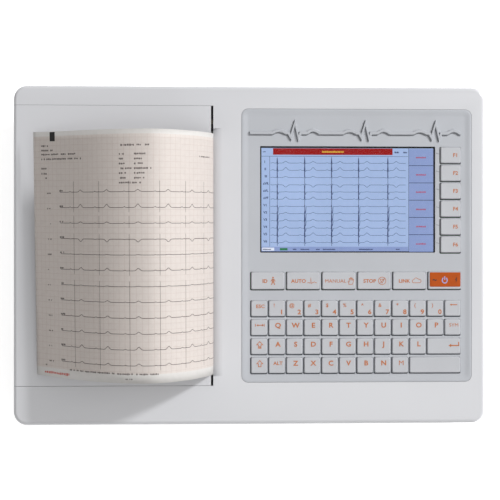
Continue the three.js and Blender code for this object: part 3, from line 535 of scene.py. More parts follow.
# Painted shade: the dark blue-grey sheet under the keys shows through their gaps as their shadow.
KEY_GAP_SHADE = surface("key_gap_painted_shade", "6d7580", 0.6, tint=0.05, patch=0.02, spread=0.05,
                   grain=0.0004, depth=0.000012)
ORANGE = surface("key_face_orange", "b34d04", 0.38, tint=0.05, patch=0.01, spread=0.05,
                 grain=0.0004, depth=0.00001, sockets={"Specular IOR Level": 0.25})
LEGEND = surface("legend_orange_ink", "bb6e3e", 0.6, tint=0.08, patch=0.003, grain=0.0002)
DARK_INK = surface("legend_dark_ink", "2a2422", 0.6, tint=0.1, patch=0.003, grain=0.0002)
BLUE_INK = surface("legend_blue_ink", "a3a2cf", 0.55, tint=0.08, patch=0.003, grain=0.0002)
TICK = surface("panel_tick_line", "85888e", 0.5, tint=0.04, patch=0.004, grain=0.0003)
BLACK = surface("black_moulded_plastic", "1b1b1e", 0.45, tint=0.15, patch=0.01, spread=0.1,
                grain=0.0005, depth=0.00002)
BEZEL = surface("display_black_border", "0c0c10", 0.25, tint=0.2, patch=0.02, grain=0.0006)
RUBBER = surface("foot_rubber", "232326", 0.8, tint=0.15, patch=0.006, grain=0.0006, depth=0.00004)
PLATEN_RUBBER = surface("platen_rubber", "2b2b30", 0.6, tint=0.12, patch=0.01, spread=0.1,
                        grain=0.0003, depth=0.00002, stretch=(1, 0.2, 1))
STEEL = surface("brushed_steel", "b4b7bb", 0.34, 1.0, tint=0.06, patch=0.01, spread=0.12,
                grain=0.0006, depth=0.000008, stretch=(1, 0.06, 1))
DARK_STEEL = surface("motor_steel", "8a8d92", 0.42, 1.0, tint=0.1, patch=0.01, spread=0.12,
                     grain=0.0005, depth=0.00001)
ALUMINIUM = surface("extruded_aluminium", "c6c9cd", 0.38, 1.0, tint=0.05, patch=0.02, spread=0.1,
                    grain=0.0008, depth=0.00001, stretch=(1, 0.04, 1))
BRASS = surface("turned_brass", "c9a050", 0.3, 1.0, tint=0.08, patch=0.006, spread=0.1,
                grain=0.0004, depth=0.000006)
NICKEL = surface("nickel_plated_shell", "c2c3c6", 0.26, 1.0, tint=0.06, patch=0.008, spread=0.08,
                 grain=0.0005, depth=0.000005)
GEAR = surface("moulded_gear_plastic", "e4dec9", 0.4, tint=0.04, patch=0.008, grain=0.0004,
               depth=0.00001)
CERAMIC = surface("print_head_ceramic", "d9d3c2", 0.22, tint=0.04, patch=0.01, grain=0.0006)
TRAY = surface("tray_grey_plastic", "a8abb0", 0.5, tint=0.04, patch=0.03, grain=0.0006, depth=0.00003)
BATTERY = surface("battery_shrink_sleeve", "2a57a0", 0.35, tint=0.1, patch=0.02, grain=0.002,
                  depth=0.00006)
BROWN_BOARD = surface("power_board_laminate", "80603a", 0.5, tint=0.12, patch=0.006, grain=0.0005)
FUSE = surface("fuse_glass_and_caps", "c9cdcf", 0.2, 0.4, tint=0.08, patch=0.004, grain=0.0005)


def circuit_board():
    """Green solder mask with paler copper runs under it."""
    nodes = Nodes("circuit_board_mask")
    vector = nodes.coordinates()
    brick = nodes.add("ShaderNodeTexBrick")
    brick.inputs["Scale"].default_value = 220
    brick.inputs["Mortar Size"].default_value = 0.03
    brick.inputs["Color1"].default_value = (*linear("1d5a34"), 1)
    brick.inputs["Color2"].default_value = (*linear("22663b"), 1)
    brick.inputs["Mortar"].default_value = (*linear("3f8f58"), 1)
    nodes.link(vector, brick.inputs["Vector"])
    nodes.set("Base Color", brick.outputs["Color"])
    fine = nodes.noise(vector, 0.0008)
    nodes.set("Roughness", nodes.spread(fine, 0.3, 0.45))
    nodes.bump(brick.outputs["Fac"], 0.00004)
    return nodes.material


def lens_glass():
    """Clear hard-coated lens."""
    nodes = Nodes("display_lens_glass")
    fine = nodes.noise(nodes.coordinates(), 0.004)
    nodes.set("Base Color", nodes.blend(fine, (0.96, 0.97, 0.98), (0.99, 0.99, 1.0)))
    nodes.set("Roughness", nodes.spread(fine, 0.02, 0.05))
    nodes.set("Transmission Weight", 1.0)
    nodes.set("IOR", 1.16)
    return nodes.material


BOARD = circuit_board()
LENS = lens_glass()


# ---- Casing ----------------------------------------------------------------------------

PARTING_CHAMFER = 0.7
# The opening under the control panel.
WELL_X, WELL_Y = (-3, 190.5), (-108, 101)
# Cutters through the rear wall start here, inside the casing.
INSIDE_REAR = 140


def casing_ring(inset, height):
    """The casing's outline from above, drawn in by inset."""
    return rounded_ring(
        around(0, WIDTH / 2 - inset), around(0, DEPTH / 2 - inset),
        max(CORNER_RADIUS - inset, 3), height, steps=12)


def quarter(steps):
    """Angles from nought to a right angle."""
    return [math.pi / 2 * i / steps for i in range(steps + 1)]


def upper_outside(name):
    """The outer form above the parting line: a chamfer, a slight draft and a rounded top edge."""
    rings = [casing_ring(PARTING_CHAMFER, PARTING_Z + GAP / 2), casing_ring(0, PARTING_Z + 0.9)]
    for angle in quarter(8):
        inset = DRAFT + EDGE_RADIUS * (1 - math.cos(angle))
        drop = EDGE_RADIUS * (1 - math.sin(angle))
        rings.append(casing_ring(inset, lambda y, drop=drop: deck_height(y) - drop))
    return draft(name, *loft(rings))


def upper_inside():
    """The upper form's hollow, which narrows under the deck."""
    return draft("inside", *loft([
        casing_ring(WALL, PARTING_Z - 5),
        casing_ring(WALL + DRAFT, lambda y: deck_height(y) - DECK_THICKNESS - 4),
        casing_ring(WALL + DRAFT + 2, lambda y: deck_height(y) - DECK_THICKNESS),
    ]))


def port_cutters():
    """Openings in the rear wall, from the sockets' own boxes."""
    cutters = []
    for node in ("mains_inlet", "lan_port", "usb_port"):
        x, _, z = row_box(node)
        cutters.append(block(node, grow(x, GAP), (INSIDE_REAR, PAST_REAR), grow(z, GAP)))
    return cutters


def ledges():
    """Two ledges that carry the door, each with an upright beside the door's edge."""
    x, z, upright_z = (-204, -37), (-9.3, -4.6), (-9.3, -1)
    front, rear = DOOR_Y
    spans = (
        ((front - 2, front + 3), z), ((front - 2.2, front - GAP), upright_z),
        ((rear - 3, rear + 2), z), ((rear + GAP, rear + 2.2), upright_z),
    )
    return [block("ledge", x, y, height, DECK) for y, height in spans]


def tear_scoop():
    """Cutter for the deck's edge beside the slot, which rolls down towards the paper."""
    profile = [(-25.0, 0.6), (-25.3, 0.0), (-27.0, -0.14), (-29.0, -0.52), (-31.0, -1.15), (-32.4, -1.8),
               (-34.0, -2.7), (-36.0, -2.7), (-36.0, 0.6)]
    rings = [[(x, y, z) for x, z in profile] for y in (-107.0, 112.0)]
    return draft("scoop", *loft(rings), DECK)


def top_shell():
    """The upper casing with its doorway, the panel's seat, a cup round the stud and the port openings."""
    shell = upper_outside("casing_top")
    boolean(shell, "DIFFERENCE", [upper_inside()])
    stud_x, _, stud_z = row_centre("ground_stud")
    stud = (stud_x, 0, stud_z)
    boolean(shell, "UNION", [turned("cup", [(10, 138), (10, 148.5)], stud, "y")])
    door_span = (DOOR_Y[0] - GAP, DOOR_Y[1] + REAR_SEAM)
    doorway = block("doorway", (PAST_LEFT, DECK_EDGE_X), door_span, (-90, 20), DECK)
    well = block("well", WELL_X, WELL_Y, (-20, 5), DECK)
    cup = turned("cup", [(8, INSIDE_REAR), (8, PAST_REAR)], stud, "y")
    hole = turned("hole", [(3.4, 130), (3.4, 142)], stud, "y")
    _, y, z = row_centre("patient_connector")
    right_wall = (200, PAST_RIGHT)
    patient = block("patient", right_wall, around(y, 13.5), around(z, 4.9))
    jacks = [
        turned("jack", [(2.9, x) for x in right_wall], (0, y + side, z), "x")
        for side in (-JACK_PLACE, JACK_PLACE)
    ]
    cutters = [doorway, well, cup, hole, patient, *jacks, *port_cutters(), tear_scoop()]
    boolean(shell, "DIFFERENCE", cutters)
    boolean(shell, "UNION", ledges())
    soften(shell, 0.45)
    seat = draft("seat", *loft([
        rounded_ring(grow(PANEL_X, SEAM), grow(PANEL_Y, SEAM), PANEL_CORNER + SEAM, height)
        for height in (-2.9, 5)
    ]), DECK)
    boolean(shell, "DIFFERENCE", [seat])
    return place(shell, "root", CASING, "casing_white", "top_shell")


def paper_door():
    """The sliding cover: two arms carry the platen, hooks grip the ledges and ribs stiffen it."""
    door = upper_outside("paper_door_cover")
    boolean(door, "DIFFERENCE", [upper_inside()])
    boolean(door, "INTERSECT", [block("region", (PAST_LEFT, DOOR_EDGE_X), DOOR_Y, (-60, 20), DECK)])
    arm_x, arm_z, hook_x = (-52, -36), (-20, -3), (-200, -40)
    arms = [block("arm", arm_x, y, arm_z, DECK) for y in ((-111.5, -108.5), (111, 114))]
    hook_web_z, hook_foot_z = (-11, -3), (-11, -9.6)
    hook_spans = (
        ((-111.6, -110.4), hook_web_z), ((-114.3, -110.4), hook_foot_z),
        ((127.1, 128.3), hook_web_z), ((127.1, 131), hook_foot_z),
    )
    hooks = [block("hook", hook_x, y, z, DECK) for y, z in hook_spans]
    ribs = [block("rib", (x, x + 2), (-108, 125), (-7, -3), DECK) for x in (-170, -130, -90)]
    boolean(door, "UNION", [*arms, *hooks, *ribs])
    holes = [turned("hole", [(4.8, y), (4.8, y + 20)], PLATEN_CENTRE, "y", DECK) for y in (-120, 105)]
    grip = block("grip", (-212, -208.4), (-28, 44), (46, 58))
    boolean(door, "DIFFERENCE", [*holes, grip])
    soften(door, 0.45)
    return place(door, "paper_door", CASING, "casing_white", "paper_door")


BATTERY_BAY_Y = (-100, 20)
# Cutters through the base's floor run over these heights.
FLOOR_Z = (0, 10)


def base_shell():
    """The lower casing with its battery bay, speaker grille, vents and screw holes."""
    outside = ((8, 3), (6.2, 3.4), (2.4, 8.2), (1.6, 10), (0.1, PARTING_Z - 1),
               (PARTING_CHAMFER, PARTING_Z - GAP / 2))
    inside = ((WALL + 6, 6), (WALL + 1.5, 12), (WALL, PARTING_Z + 5))
    shell = draft("casing_base", *loft([casing_ring(*level) for level in outside]))
    boolean(shell, "DIFFERENCE", [draft("inside", *loft([casing_ring(*level) for level in inside]))])
    bay_x = row_box("battery_door")[0]
    cutters = [block("battery", grow(bay_x, GAP), BATTERY_BAY_Y, FLOOR_Z)]
    speaker_x, speaker_y, _ = row_centre("speaker")
    for slot in range(-2, 3):
        cutters.append(block("grille", around(speaker_x, 12), around(speaker_y + slot * 6, 1.5), FLOOR_Z))
    for slot in range(6):
        cutters.append(block("vent", around(100 + slot * 12, 2), (60, 100), FLOOR_Z))
    for corner in CORNERS:
        x, y, _ = row_centre(f"case_screw_{corner}")
        cutters.append(turned("screw_hole", [(3.6, z) for z in FLOOR_Z], (x, y, 0), steps=24))
    boolean(shell, "DIFFERENCE", cutters)
    soften(shell, 0.4)
    return place(shell, "root", BASE, "casing_white", "base_shell")


def battery_door():
    """The battery's cover, with four finger grooves."""
    x = row_box("battery_door")[0]
    door = block("battery_cover", x, grow(BATTERY_BAY_Y, -GAP), (3.2, 5.6), radius=2.0)
    grooves = [block("groove", (84, 96), (8 + i * 2.4, 9 + i * 2.4), (2, 3.7)) for i in range(4)]
    boolean(door, "DIFFERENCE", grooves)
    soften(door, 0.3)
    return place(door, "root", BASE, "casing_white", "battery_door")


def feet():
    """Rubber feet with a recessed sole and a barbed stem."""
    profile = [(0.1, 0.5), (5, 0.5), (5.6, 0), (9.8, 0), (10.5, 0.3), (10.8, 0.9), (10.8, 2.7),
               (3, 2.7), (3, 6.4), (3.9, 6.9), (3.4, 8.8), (0.1, 8.9)]
    for corner in CORNERS:
        x, y, _ = row_centre(f"foot_{corner}")
        foot = turned(f"rubber_foot_{corner}", profile, (x, y, 0))
        soften(foot, 0.12, angle=40)
        place(foot, "root", RUBBER, "foot_rubber", f"foot_{corner}")


# ---- Control panel and keys ------------------------------------------------------------

LETTER_LEFT, LETTER_TOP = 0.1, -40.3
LETTER_PITCH = (15.68, 16.8)
LETTER_SIZE = (14.2, 14.1)
LEGEND_Z, LEGEND_THICKNESS = KEY_TOP - 0.1, 0.09
ROWS = (
    ("ESC", "1", "2", "3", "4", "5", "6", "7", "8", "9", "0", "back"),
    ("tab", "Q", "W", "E", "R", "T", "Y", "U", "I", "O", "P", "SYM"),
    ("caps", "A", "S", "D", "F", "G", "H", "J", "K", "L", "enter"),
    ("shift", "ALT", "Z", "X", "C", "V", "B", "N", "M", "space"),
)
SHIFTED = dict(zip("1234567890", "!@#$%^&*()"))
FUNCTION_KEYS = ("f1", "f2", "f3", "f4", "f5", "f6")
COMMAND_KEYS = ("id", "auto", "manual", "stop", "link", "power")


def letter_frames():
    """Each keyboard key's legend with its span in x and y."""
    for row, names in enumerate(ROWS):
        top = LETTER_TOP - row * LETTER_PITCH[1]
        for column, name in enumerate(names):
            left = LETTER_LEFT + column * LETTER_PITCH[0]
            last = 11 if name in ("enter", "space") else column
            right = LETTER_LEFT + last * LETTER_PITCH[0] + LETTER_SIZE[0]
            yield name, (left, right), (top - LETTER_SIZE[1], top)


def pressed_frame(name):
    """The cap of a sprung key, inside the flange that its CAD node has."""
    x, y, _ = deck_box(f"key_{name}")
    return grow(x, -0.9), grow(y, -0.35)


LETTERS = list(letter_frames())
PRESSED = {name: pressed_frame(name) for name in FUNCTION_KEYS + COMMAND_KEYS}


def key_cap(name, x, y, top=KEY_TOP):
    """A key with leaning walls, a rounded rim and a barely hollow face."""
    lean, fillet = 0.45, 0.3
    levels = [(0.0, KEY_BOTTOM), (0.0, PANEL_FIELD_Z), (lean, top - fillet)]
    levels += [
        (lean + fillet * (1 - math.cos(a)), top - fillet * (1 - math.sin(a))) for a in quarter(4)[1:]
    ]
    levels += [(1.9, top - 0.03), (3.0, top - 0.1)]
    rings = [
        rounded_ring(grow(x, -inset), grow(y, -inset), max(1.3 - inset * 0.4, 0.35), height, 5)
        for inset, height in levels
    ]
    cap = draft(name, *loft(rings), DECK)
    collar_z = (KEY_BOTTOM, PANEL_FIELD_Z - 0.1)
    right = block("collar", (x[1] - 1, x[1] + 0.1), grow(y, -2), collar_z, DECK)
    rear = block("collar", grow(x, -2), (y[1] - 1, y[1] + 0.1), collar_z, DECK)
    return smooth_quads(merge(name, [cap, right, rear]))


def pulse_line():
    """The line of three heartbeats across the top of the panel."""
    left, right, baseline = -1.0, 187.2, 108.2
    spacing = (right - left) / 3
    line = [(left, baseline)]
    for beat in range(3):
        x = left + beat * spacing
        line += [
            (x + 20, baseline), (x + 23, baseline + 1.6), (x + 26, baseline + 2.1),
            (x + 29, baseline + 1.6), (x + 32, baseline), (x + 34.5, baseline), (x + 36.4, 104.6),
            (x + 40.0, 117.0), (x + 43.2, 103.8), (x + 45.0, baseline), (x + 50.5, baseline),
            (x + 53.3, baseline + 1.7), (x + 56.3, baseline + 2.6), (x + 59.3, baseline + 1.7),
            (x + 62, baseline),
        ]
    line.append((right, baseline))
    return line


PULSE_WIDTH = 3.2


def pulse_relief():
    """The heartbeats as a raised line with sloping sides."""
    ink = Ink(on_deck(PANEL_FIELD_Z - 0.2), thickness=1.7)
    ink.stroke(pulse_line(), PULSE_WIDTH, slope=0.6)
    return ink.made("panel_pulse_relief")


def pulse_groove():
    """A narrow groove that undercuts the raised line along its left and lower sides."""
    shift = 0.75
    ink = Ink(on_deck(PANEL_UNDER_Z + 0.4), thickness=3.0)
    ink.stroke([(x - shift, y - shift) for x, y in pulse_line()], PULSE_WIDTH)
    return ink.made("groove")


def control_panel():
    """The plate: a raised rim that falls to a flat field, with openings for the display and keys."""
    def level(inset, height):
        radius = max(PANEL_CORNER - inset * 0.6, 2.5)
        return rounded_ring(grow(PANEL_X, -inset), grow(PANEL_Y, -inset), radius, height)

    edge, lip = 0.2, 0.9
    rings = [level(0, PANEL_UNDER_Z), level(0, PANEL_RIM_Z - edge)]
    for a in quarter(2)[1:]:
        rings.append(level(edge * (1 - math.cos(a)), PANEL_RIM_Z - edge * (1 - math.sin(a))))
    fall = PANEL_RIM_Z - PANEL_FIELD_Z
    for step in range(1, 9):
        share = step / 8
        ease = share * share * (3 - 2 * share)
        rings.append(level(lip + (PANEL_BORDER - lip) * share, PANEL_RIM_Z - fall * ease))
    panel = draft("control_panel_plate", *loft(rings), DECK)
    boolean(panel, "DIFFERENCE", [pulse_groove()])
    place(pulse_relief(), "root", PANEL, "panel_grey")
    through = (-6, 5)
    window = block("window", WINDOW_X, WINDOW_Y, through, DECK, radius=0.8)
    holes = []
    for spans in [(x, y) for _, x, y in LETTERS] + list(PRESSED.values()):
        x, y = ((low - KEY_GROOVE, high + KEY_GAP) for low, high in spans)
        holes.append(block("hole", x, y, through, DECK, radius=1.3))
    boolean(panel, "DIFFERENCE", [window, merge("holes", holes)])
    soften(panel, 0.22)
    return place(panel, "root", PANEL, "panel_grey", "control_panel")


def tick_lines():
    """Thin lines on the panel that lead from the display to the function keys."""
    ink = Ink(on_deck(PANEL_FIELD_Z), thickness=0.12)
    for name in FUNCTION_KEYS:
        x, y = PRESSED[name]
        start, end, level = WINDOW_X[1], x[0], y[1] - 6.2
        ink.stroke([(start + 0.8, level + 0.9), (start + 2.4, level + 0.5), (end - 0.6, level)], 0.42)
    place(ink.made("softkey_ticks"), "root", TICK, "panel_grey")


def arrow(ink, x, y, length, width, head=1.5):
    """An arrow that points to the left."""
    tip, barb = x - length / 2, head * 0.65
    ink.stroke([(tip + head * 0.8, y), (x + length / 2, y)], width)
    ink.outline([(tip, y), (tip + head, y - barb), (tip + head, y + barb)])


def upward_arrow(ink, x, y, bar):
    """A hollow arrow that points up, on a bar for caps lock."""
    head, stem, foot = 2.7, 1.2, (-1.3 if bar else -2.5)
    points = [(0, 2.9), (-head, 0.1), (-stem, 0.1), (-stem, foot), (stem, foot), (stem, 0.1), (head, 0.1)]
    ink.stroke([(x + px, y + py) for px, py in points], 0.62, closed=True)
    if bar:
        ink.stroke([(x - stem - 0.3, y - 2.6), (x + stem + 0.3, y - 2.6)], 1.2)


def letter_legend(ink, name, x, y):
    """A keyboard key's letter, sign or pair of characters."""
    left, top = x[0], y[1]
    middle, line = (x[0] + x[1]) / 2, top - 5.0
    if name in SHIFTED:
        ink.text(SHIFTED[name], left + 4.8, top - 4.1, 3.3)
        ink.text(name, left + 11.4, top - 10.0, 4.1, weight=0.04, stretch=1.1)
    elif name == "back":
        arrow(ink, middle + 0.9, top - 3.9, 6.6, 0.75)
    elif name == "tab":
        across = middle + 0.7
        ink.stroke([(across - 3.9, line - 1.2), (across - 3.9, line + 1.2)], 0.55)
        arrow(ink, across, line, 6.2, 0.6, 1.6)
        ink.outline([(across + 3.5, line), (across + 1.9, line - 1.1), (across + 1.9, line + 1.1)])
        ink.stroke([(across + 3.9, line - 1.2), (across + 3.9, line + 1.2)], 0.55)
    elif name in ("caps", "shift"):
        upward_arrow(ink, middle + 0.6, line - 0.6, name == "caps")
    elif name == "enter":
        arrow(ink, x[1] - 6.0, line - 1.6, 9.4, 1.0, 2.3)
        ink.stroke([(x[1] - 1.6, line - 2.1), (x[1] - 1.6, line + 1.6)], 1.0)
    elif name != "space":
        height, weight = (3.1, 0.03) if len(name) > 1 else (4.3, 0.04)
        ink.text(name, middle + 1.1, line, height, weight, stretch=1.08)


def keyboard():
    """All the letter keys as one mat over a dark sheet that paints the shade in their gaps, and their
    legends.
    """
    caps = [key_cap("cap", x, y) for _, x, y in LETTERS]
    # The dark sheet under the keys paints the shade seen in the gaps round them.
    sheet = block("key_gap_shade_sheet", (-2.5, 189.5), (-107.5, -37.5), (-4.4, -2.9), DECK)
    place(sheet, "root", KEY_GAP_SHADE, "key_grey")
    mat = smooth_quads(merge("keyboard_keys", caps))
    place(mat, "root", KEY, "key_grey", "keypad_mat")
    ink = Ink(on_deck(LEGEND_Z), LEGEND_THICKNESS)
    for name, x, y in LETTERS:
        letter_legend(ink, name, x, y)
    place(ink.made("keyboard_legends"), "root", LEGEND, "legend_orange")


def person_icon(ink, x, y):
    ink.disc(x, y + 2.9, 0.75)
    for side in (-1, 1):
        ink.stroke([(x + 1.5 * side, y - 3.5), (x + 0.35 * side, y - 0.8), (x + 0.2 * side, y + 1.6)], 0.75)
    ink.stroke([(x - 1.9, y - 0.6), (x - 0.9, y + 1.5), (x + 0.9, y + 1.5), (x + 1.9, y - 0.6)], 0.55)


def beat_icon(ink, x, y):
    ink.stroke([
        (x - 4.2, y - 1.6), (x - 2.2, y - 1.6), (x - 1.7, y - 2.2), (x - 1.1, y + 3.0), (x - 0.5, y - 2.4),
        (x, y - 1.6), (x + 1.2, y - 1.5), (x + 2.0, y - 0.7), (x + 2.8, y - 1.5), (x + 4.2, y - 1.6),
    ], 0.45)


def hand_icon(ink, x, y):
    ink.stroke([
        (x - 1.7, y - 3.1), (x - 2.6, y - 0.6), (x - 2.1, y - 0.2), (x - 1.4, y - 1.0), (x - 1.5, y + 2.1),
        (x - 0.9, y + 2.3), (x - 0.6, y + 0.4), (x - 0.4, y + 2.9), (x + 0.3, y + 2.9), (x + 0.4, y + 0.5),
        (x + 0.9, y + 2.6), (x + 1.5, y + 2.4), (x + 1.3, y + 0.3), (x + 2.0, y + 1.5), (x + 2.5, y + 1.1),
        (x + 1.9, y - 1.6), (x + 1.3, y - 3.1),
    ], 0.42, closed=True)


def stop_icon(ink, x, y):
    ink.ring(x, y, 3.3, 0.5)
    ink.stroke([(x - 1.9, y + 1.4), (x + 1.9, y + 1.4), (x, y - 2.0)], 0.45, closed=True)
    ink.stroke([(x - 2.3, y - 2.3), (x + 2.3, y + 2.3)], 0.4)


def cloud_icon(ink, x, y):
    bumps = [(-2.6, -0.4, 1.4, 110, 250), (-0.6, 0.9, 1.7, 40, 165), (2.4, -0.2, 1.5, -80, 100)]
    points = []
    for bx, by, radius, first, last in bumps[::-1]:
        for step in range(7):
            angle = math.radians(first + (last - first) * step / 6)
            points.append((x + bx + radius * math.cos(angle), y + by + radius * math.sin(angle)))
    ink.stroke(points, 0.45, closed=True)


# Each command key's word and icon, with how far their middles are from the key's left edge.
COMMAND_LEGENDS = {
    "id": ("ID", 12.3, person_icon, 19.5),
    "auto": ("AUTO", 10.6, beat_icon, 22.6),
    "manual": ("MANUAL", 11.9, hand_icon, 25.6),
    "stop": ("STOP", 10.8, stop_icon, 21.9),
    "link": ("LINK", 10.2, cloud_icon, 21.3),
}


def command_key(name):
    """A sprung key with its word, and with its icon where it has one."""
    x, y = PRESSED[name]
    place(key_cap(f"cap_{name}", x, y), f"key_{name}", KEY, "key_grey", f"key_{name}")
    ink = Ink(on_deck(LEGEND_Z), LEGEND_THICKNESS)
    if name in FUNCTION_KEYS:
        ink.text(name.upper(), x[0] + 13.4, y[1] - 7.0, 3.4, weight=0.03)
    else:
        words, across, icon, icon_across = COMMAND_LEGENDS[name]
        middle = y[1] - 7.9
        ink.text(words, x[0] + across, middle, 3.15, weight=0.035, stretch=1.07)
        icon(ink, x[0] + icon_across, middle)
    place(ink.made(f"legend_{name}"), f"key_{name}", LEGEND, "legend_orange")


def command_keys():
    for name in FUNCTION_KEYS + COMMAND_KEYS[:-1]:
        command_key(name)


def power_key():
    """A grey key with an inset orange face and its three marks."""
    x, y = PRESSED["power"]
    body, step = "key_power", 0.25
    place(key_cap("cap_power", x, y, top=KEY_TOP - step), body, KEY, "key_grey")
    inner_x, inner_y = (x[0] + 1.4, x[1] - 0.4), (y[0] + 2.3, y[1] - 0.4)
    insets_and_drops = ((0.0, 0.7), (0.0, step), (0.12, 0.05), (0.4, 0.0), (3.0, 0.06))
    face = draft("power_face", *loft([
        rounded_ring(grow(inner_x, -inset), grow(inner_y, -inset), 0.9, KEY_TOP - drop, 5)
        for inset, drop in insets_and_drops
    ]), DECK)
    place(smooth_quads(face), body, ORANGE, "key_orange", "key_power")
    middle = y[1] - 7.2
    dark = Ink(on_deck(KEY_TOP - 0.06), LEGEND_THICKNESS)
    left = x[0] + 5.8
    dark.stroke([(left - 1.7, middle - 0.3), (left - 0.9, middle + 0.5), (left, middle),
                 (left + 0.9, middle - 0.5), (left + 1.9, middle + 0.3)], 0.75)
    right = x[0] + 25.2
    dark.outline([(right - 0.1, middle + 2.2), (right - 1.0, middle - 0.3), (right - 0.1, middle - 0.2),
                  (right - 0.4, middle - 2.2), (right + 0.8, middle + 0.4), (right, middle + 0.3),
                  (right + 0.6, middle + 2.2)])
    place(dark.made("power_marks"), body, DARK_INK, "black_plastic")
    blue = Ink(on_deck(KEY_TOP - 0.06), LEGEND_THICKNESS)
    centre = x[0] + 14.8
    blue.ring(centre, middle - 0.2, 2.2, 0.95, first=125, last=415, squash=1.15)
    blue.stroke([(centre, middle + 0.1), (centre, middle + 3.3)], 0.9)
    place(blue.made("power_symbol"), body, BLUE_INK, "display_module")


# ---- Display ---------------------------------------------------------------------------

SCREEN = glowing("screen_pale_blue", "a7bde4")
SOFTKEY = glowing("screen_softkey_blue", "8d9fce")
NAVY = glowing("screen_navy", "2c3a66")
TRACE = glowing("screen_trace", "46547c")
RED = glowing("screen_banner_red", "980c0a")
YELLOW = glowing("screen_yellow", "e0b040")
WHITE = glowing("screen_white", "e6ecfa")
GREEN = glowing("screen_green", "2c7a4c")
SCREEN_RED = glowing("screen_softkey_words", "b0506c")

LEADS = ("I", "II", "III", "aVR", "aVL", "aVF", "V1", "V2", "V3", "V4", "V5", "V6")
# Heights of each lead's R wave, S wave and T wave, in millivolts.
LEAD_WAVES = (
    (0.75, -0.10, 0.22), (1.00, -0.12, 0.34), (0.45, -0.05, 0.14), (-0.85, 0.10, -0.28),
    (0.25, -0.30, 0.04), (0.75, -0.08, 0.26), (0.25, -0.85, 0.05), (0.45, -0.90, 0.16),
    (0.70, -0.60, 0.20), (0.95, -0.40, 0.22), (1.00, -0.20, 0.30), (0.85, -0.12, 0.20),
)


def heartbeat(time, waves):
    """Voltage at a time in seconds from the R peak, for one lead's waves."""
    r, s, t = waves
    # The P, Q, R, S and T waves, each as its time, height and width.
    bumps = (
        (-0.16, 0.22 * t + 0.02, 0.030), (-0.028, -0.10 * r, 0.009), (0.0, r, 0.011),
        (0.030, s, 0.012), (0.30, t, 0.070),
    )
    return sum(height * math.exp(-(((time - middle) / width) ** 2)) for middle, height, width in bumps)


def trace(start, end, beats, waves, speed, gain, step):
    """Points (distance, height) of a lead's trace. beats are the places of the R peaks."""
    places = [start + step * i for i in range(int((end - start) / step) + 1)]
    close = [beat + offset for beat in beats for offset in (-0.5, -0.25, 0, 0.25, 0.5, 0.8)]
    places += [place for place in close if start < place < end]
    return [(p, gain * sum(heartbeat((p - b) / speed, waves) for b in beats)) for p in sorted(places)]


def screen_word(ink, x, y, width, height, seed):
    """A row of tiny blocks in place of a word."""
    source = random.Random(seed)
    end = x + width
    while x < end:
        step = min(source.uniform(0.5, 1.0) * height, end - x)
        ink.bar(x, y - height / 2, x + step * 0.8, y + height / 2 * source.uniform(0.5, 1.0))
        x += step


# The screen's layers: their materials, and how far they stand out of the lit face.
SCREEN_LAYERS = {
    "screen_face": (SCREEN, 0.0), "screen_softkeys": (SOFTKEY, 0.03), "screen_lines": (NAVY, 0.06),
    "screen_banner": (RED, 0.03), "screen_banner_words": (YELLOW, 0.06),
    "screen_white_box": (WHITE, 0.05), "screen_green_box": (GREEN, 0.05),
    "screen_softkey_words": (SCREEN_RED, 0.06), "screen_traces": (TRACE, 0.06),
    "screen_spikes": (NAVY, 0.08),
}
SCREEN_BEATS = (14.1, 38.5, 62.5, 86.6, 112.8)
SCREEN_ROW, SOFTKEY_PITCH, SOFTKEY_HEIGHT = 6.42, 15.4, 14.6
SPIKE_SPANS = ((9.2, 15.4), (18.0, 24.6), (34.5, 45.0), (59.0, 66.0), (69.5, 81.5))
STATUS_WORDS = ((27.9, 31.2), (34.8, 42.6), (48.7, 51.9), (54.8, 65.8), (87.0, 99.4), (120.0, 123.4))


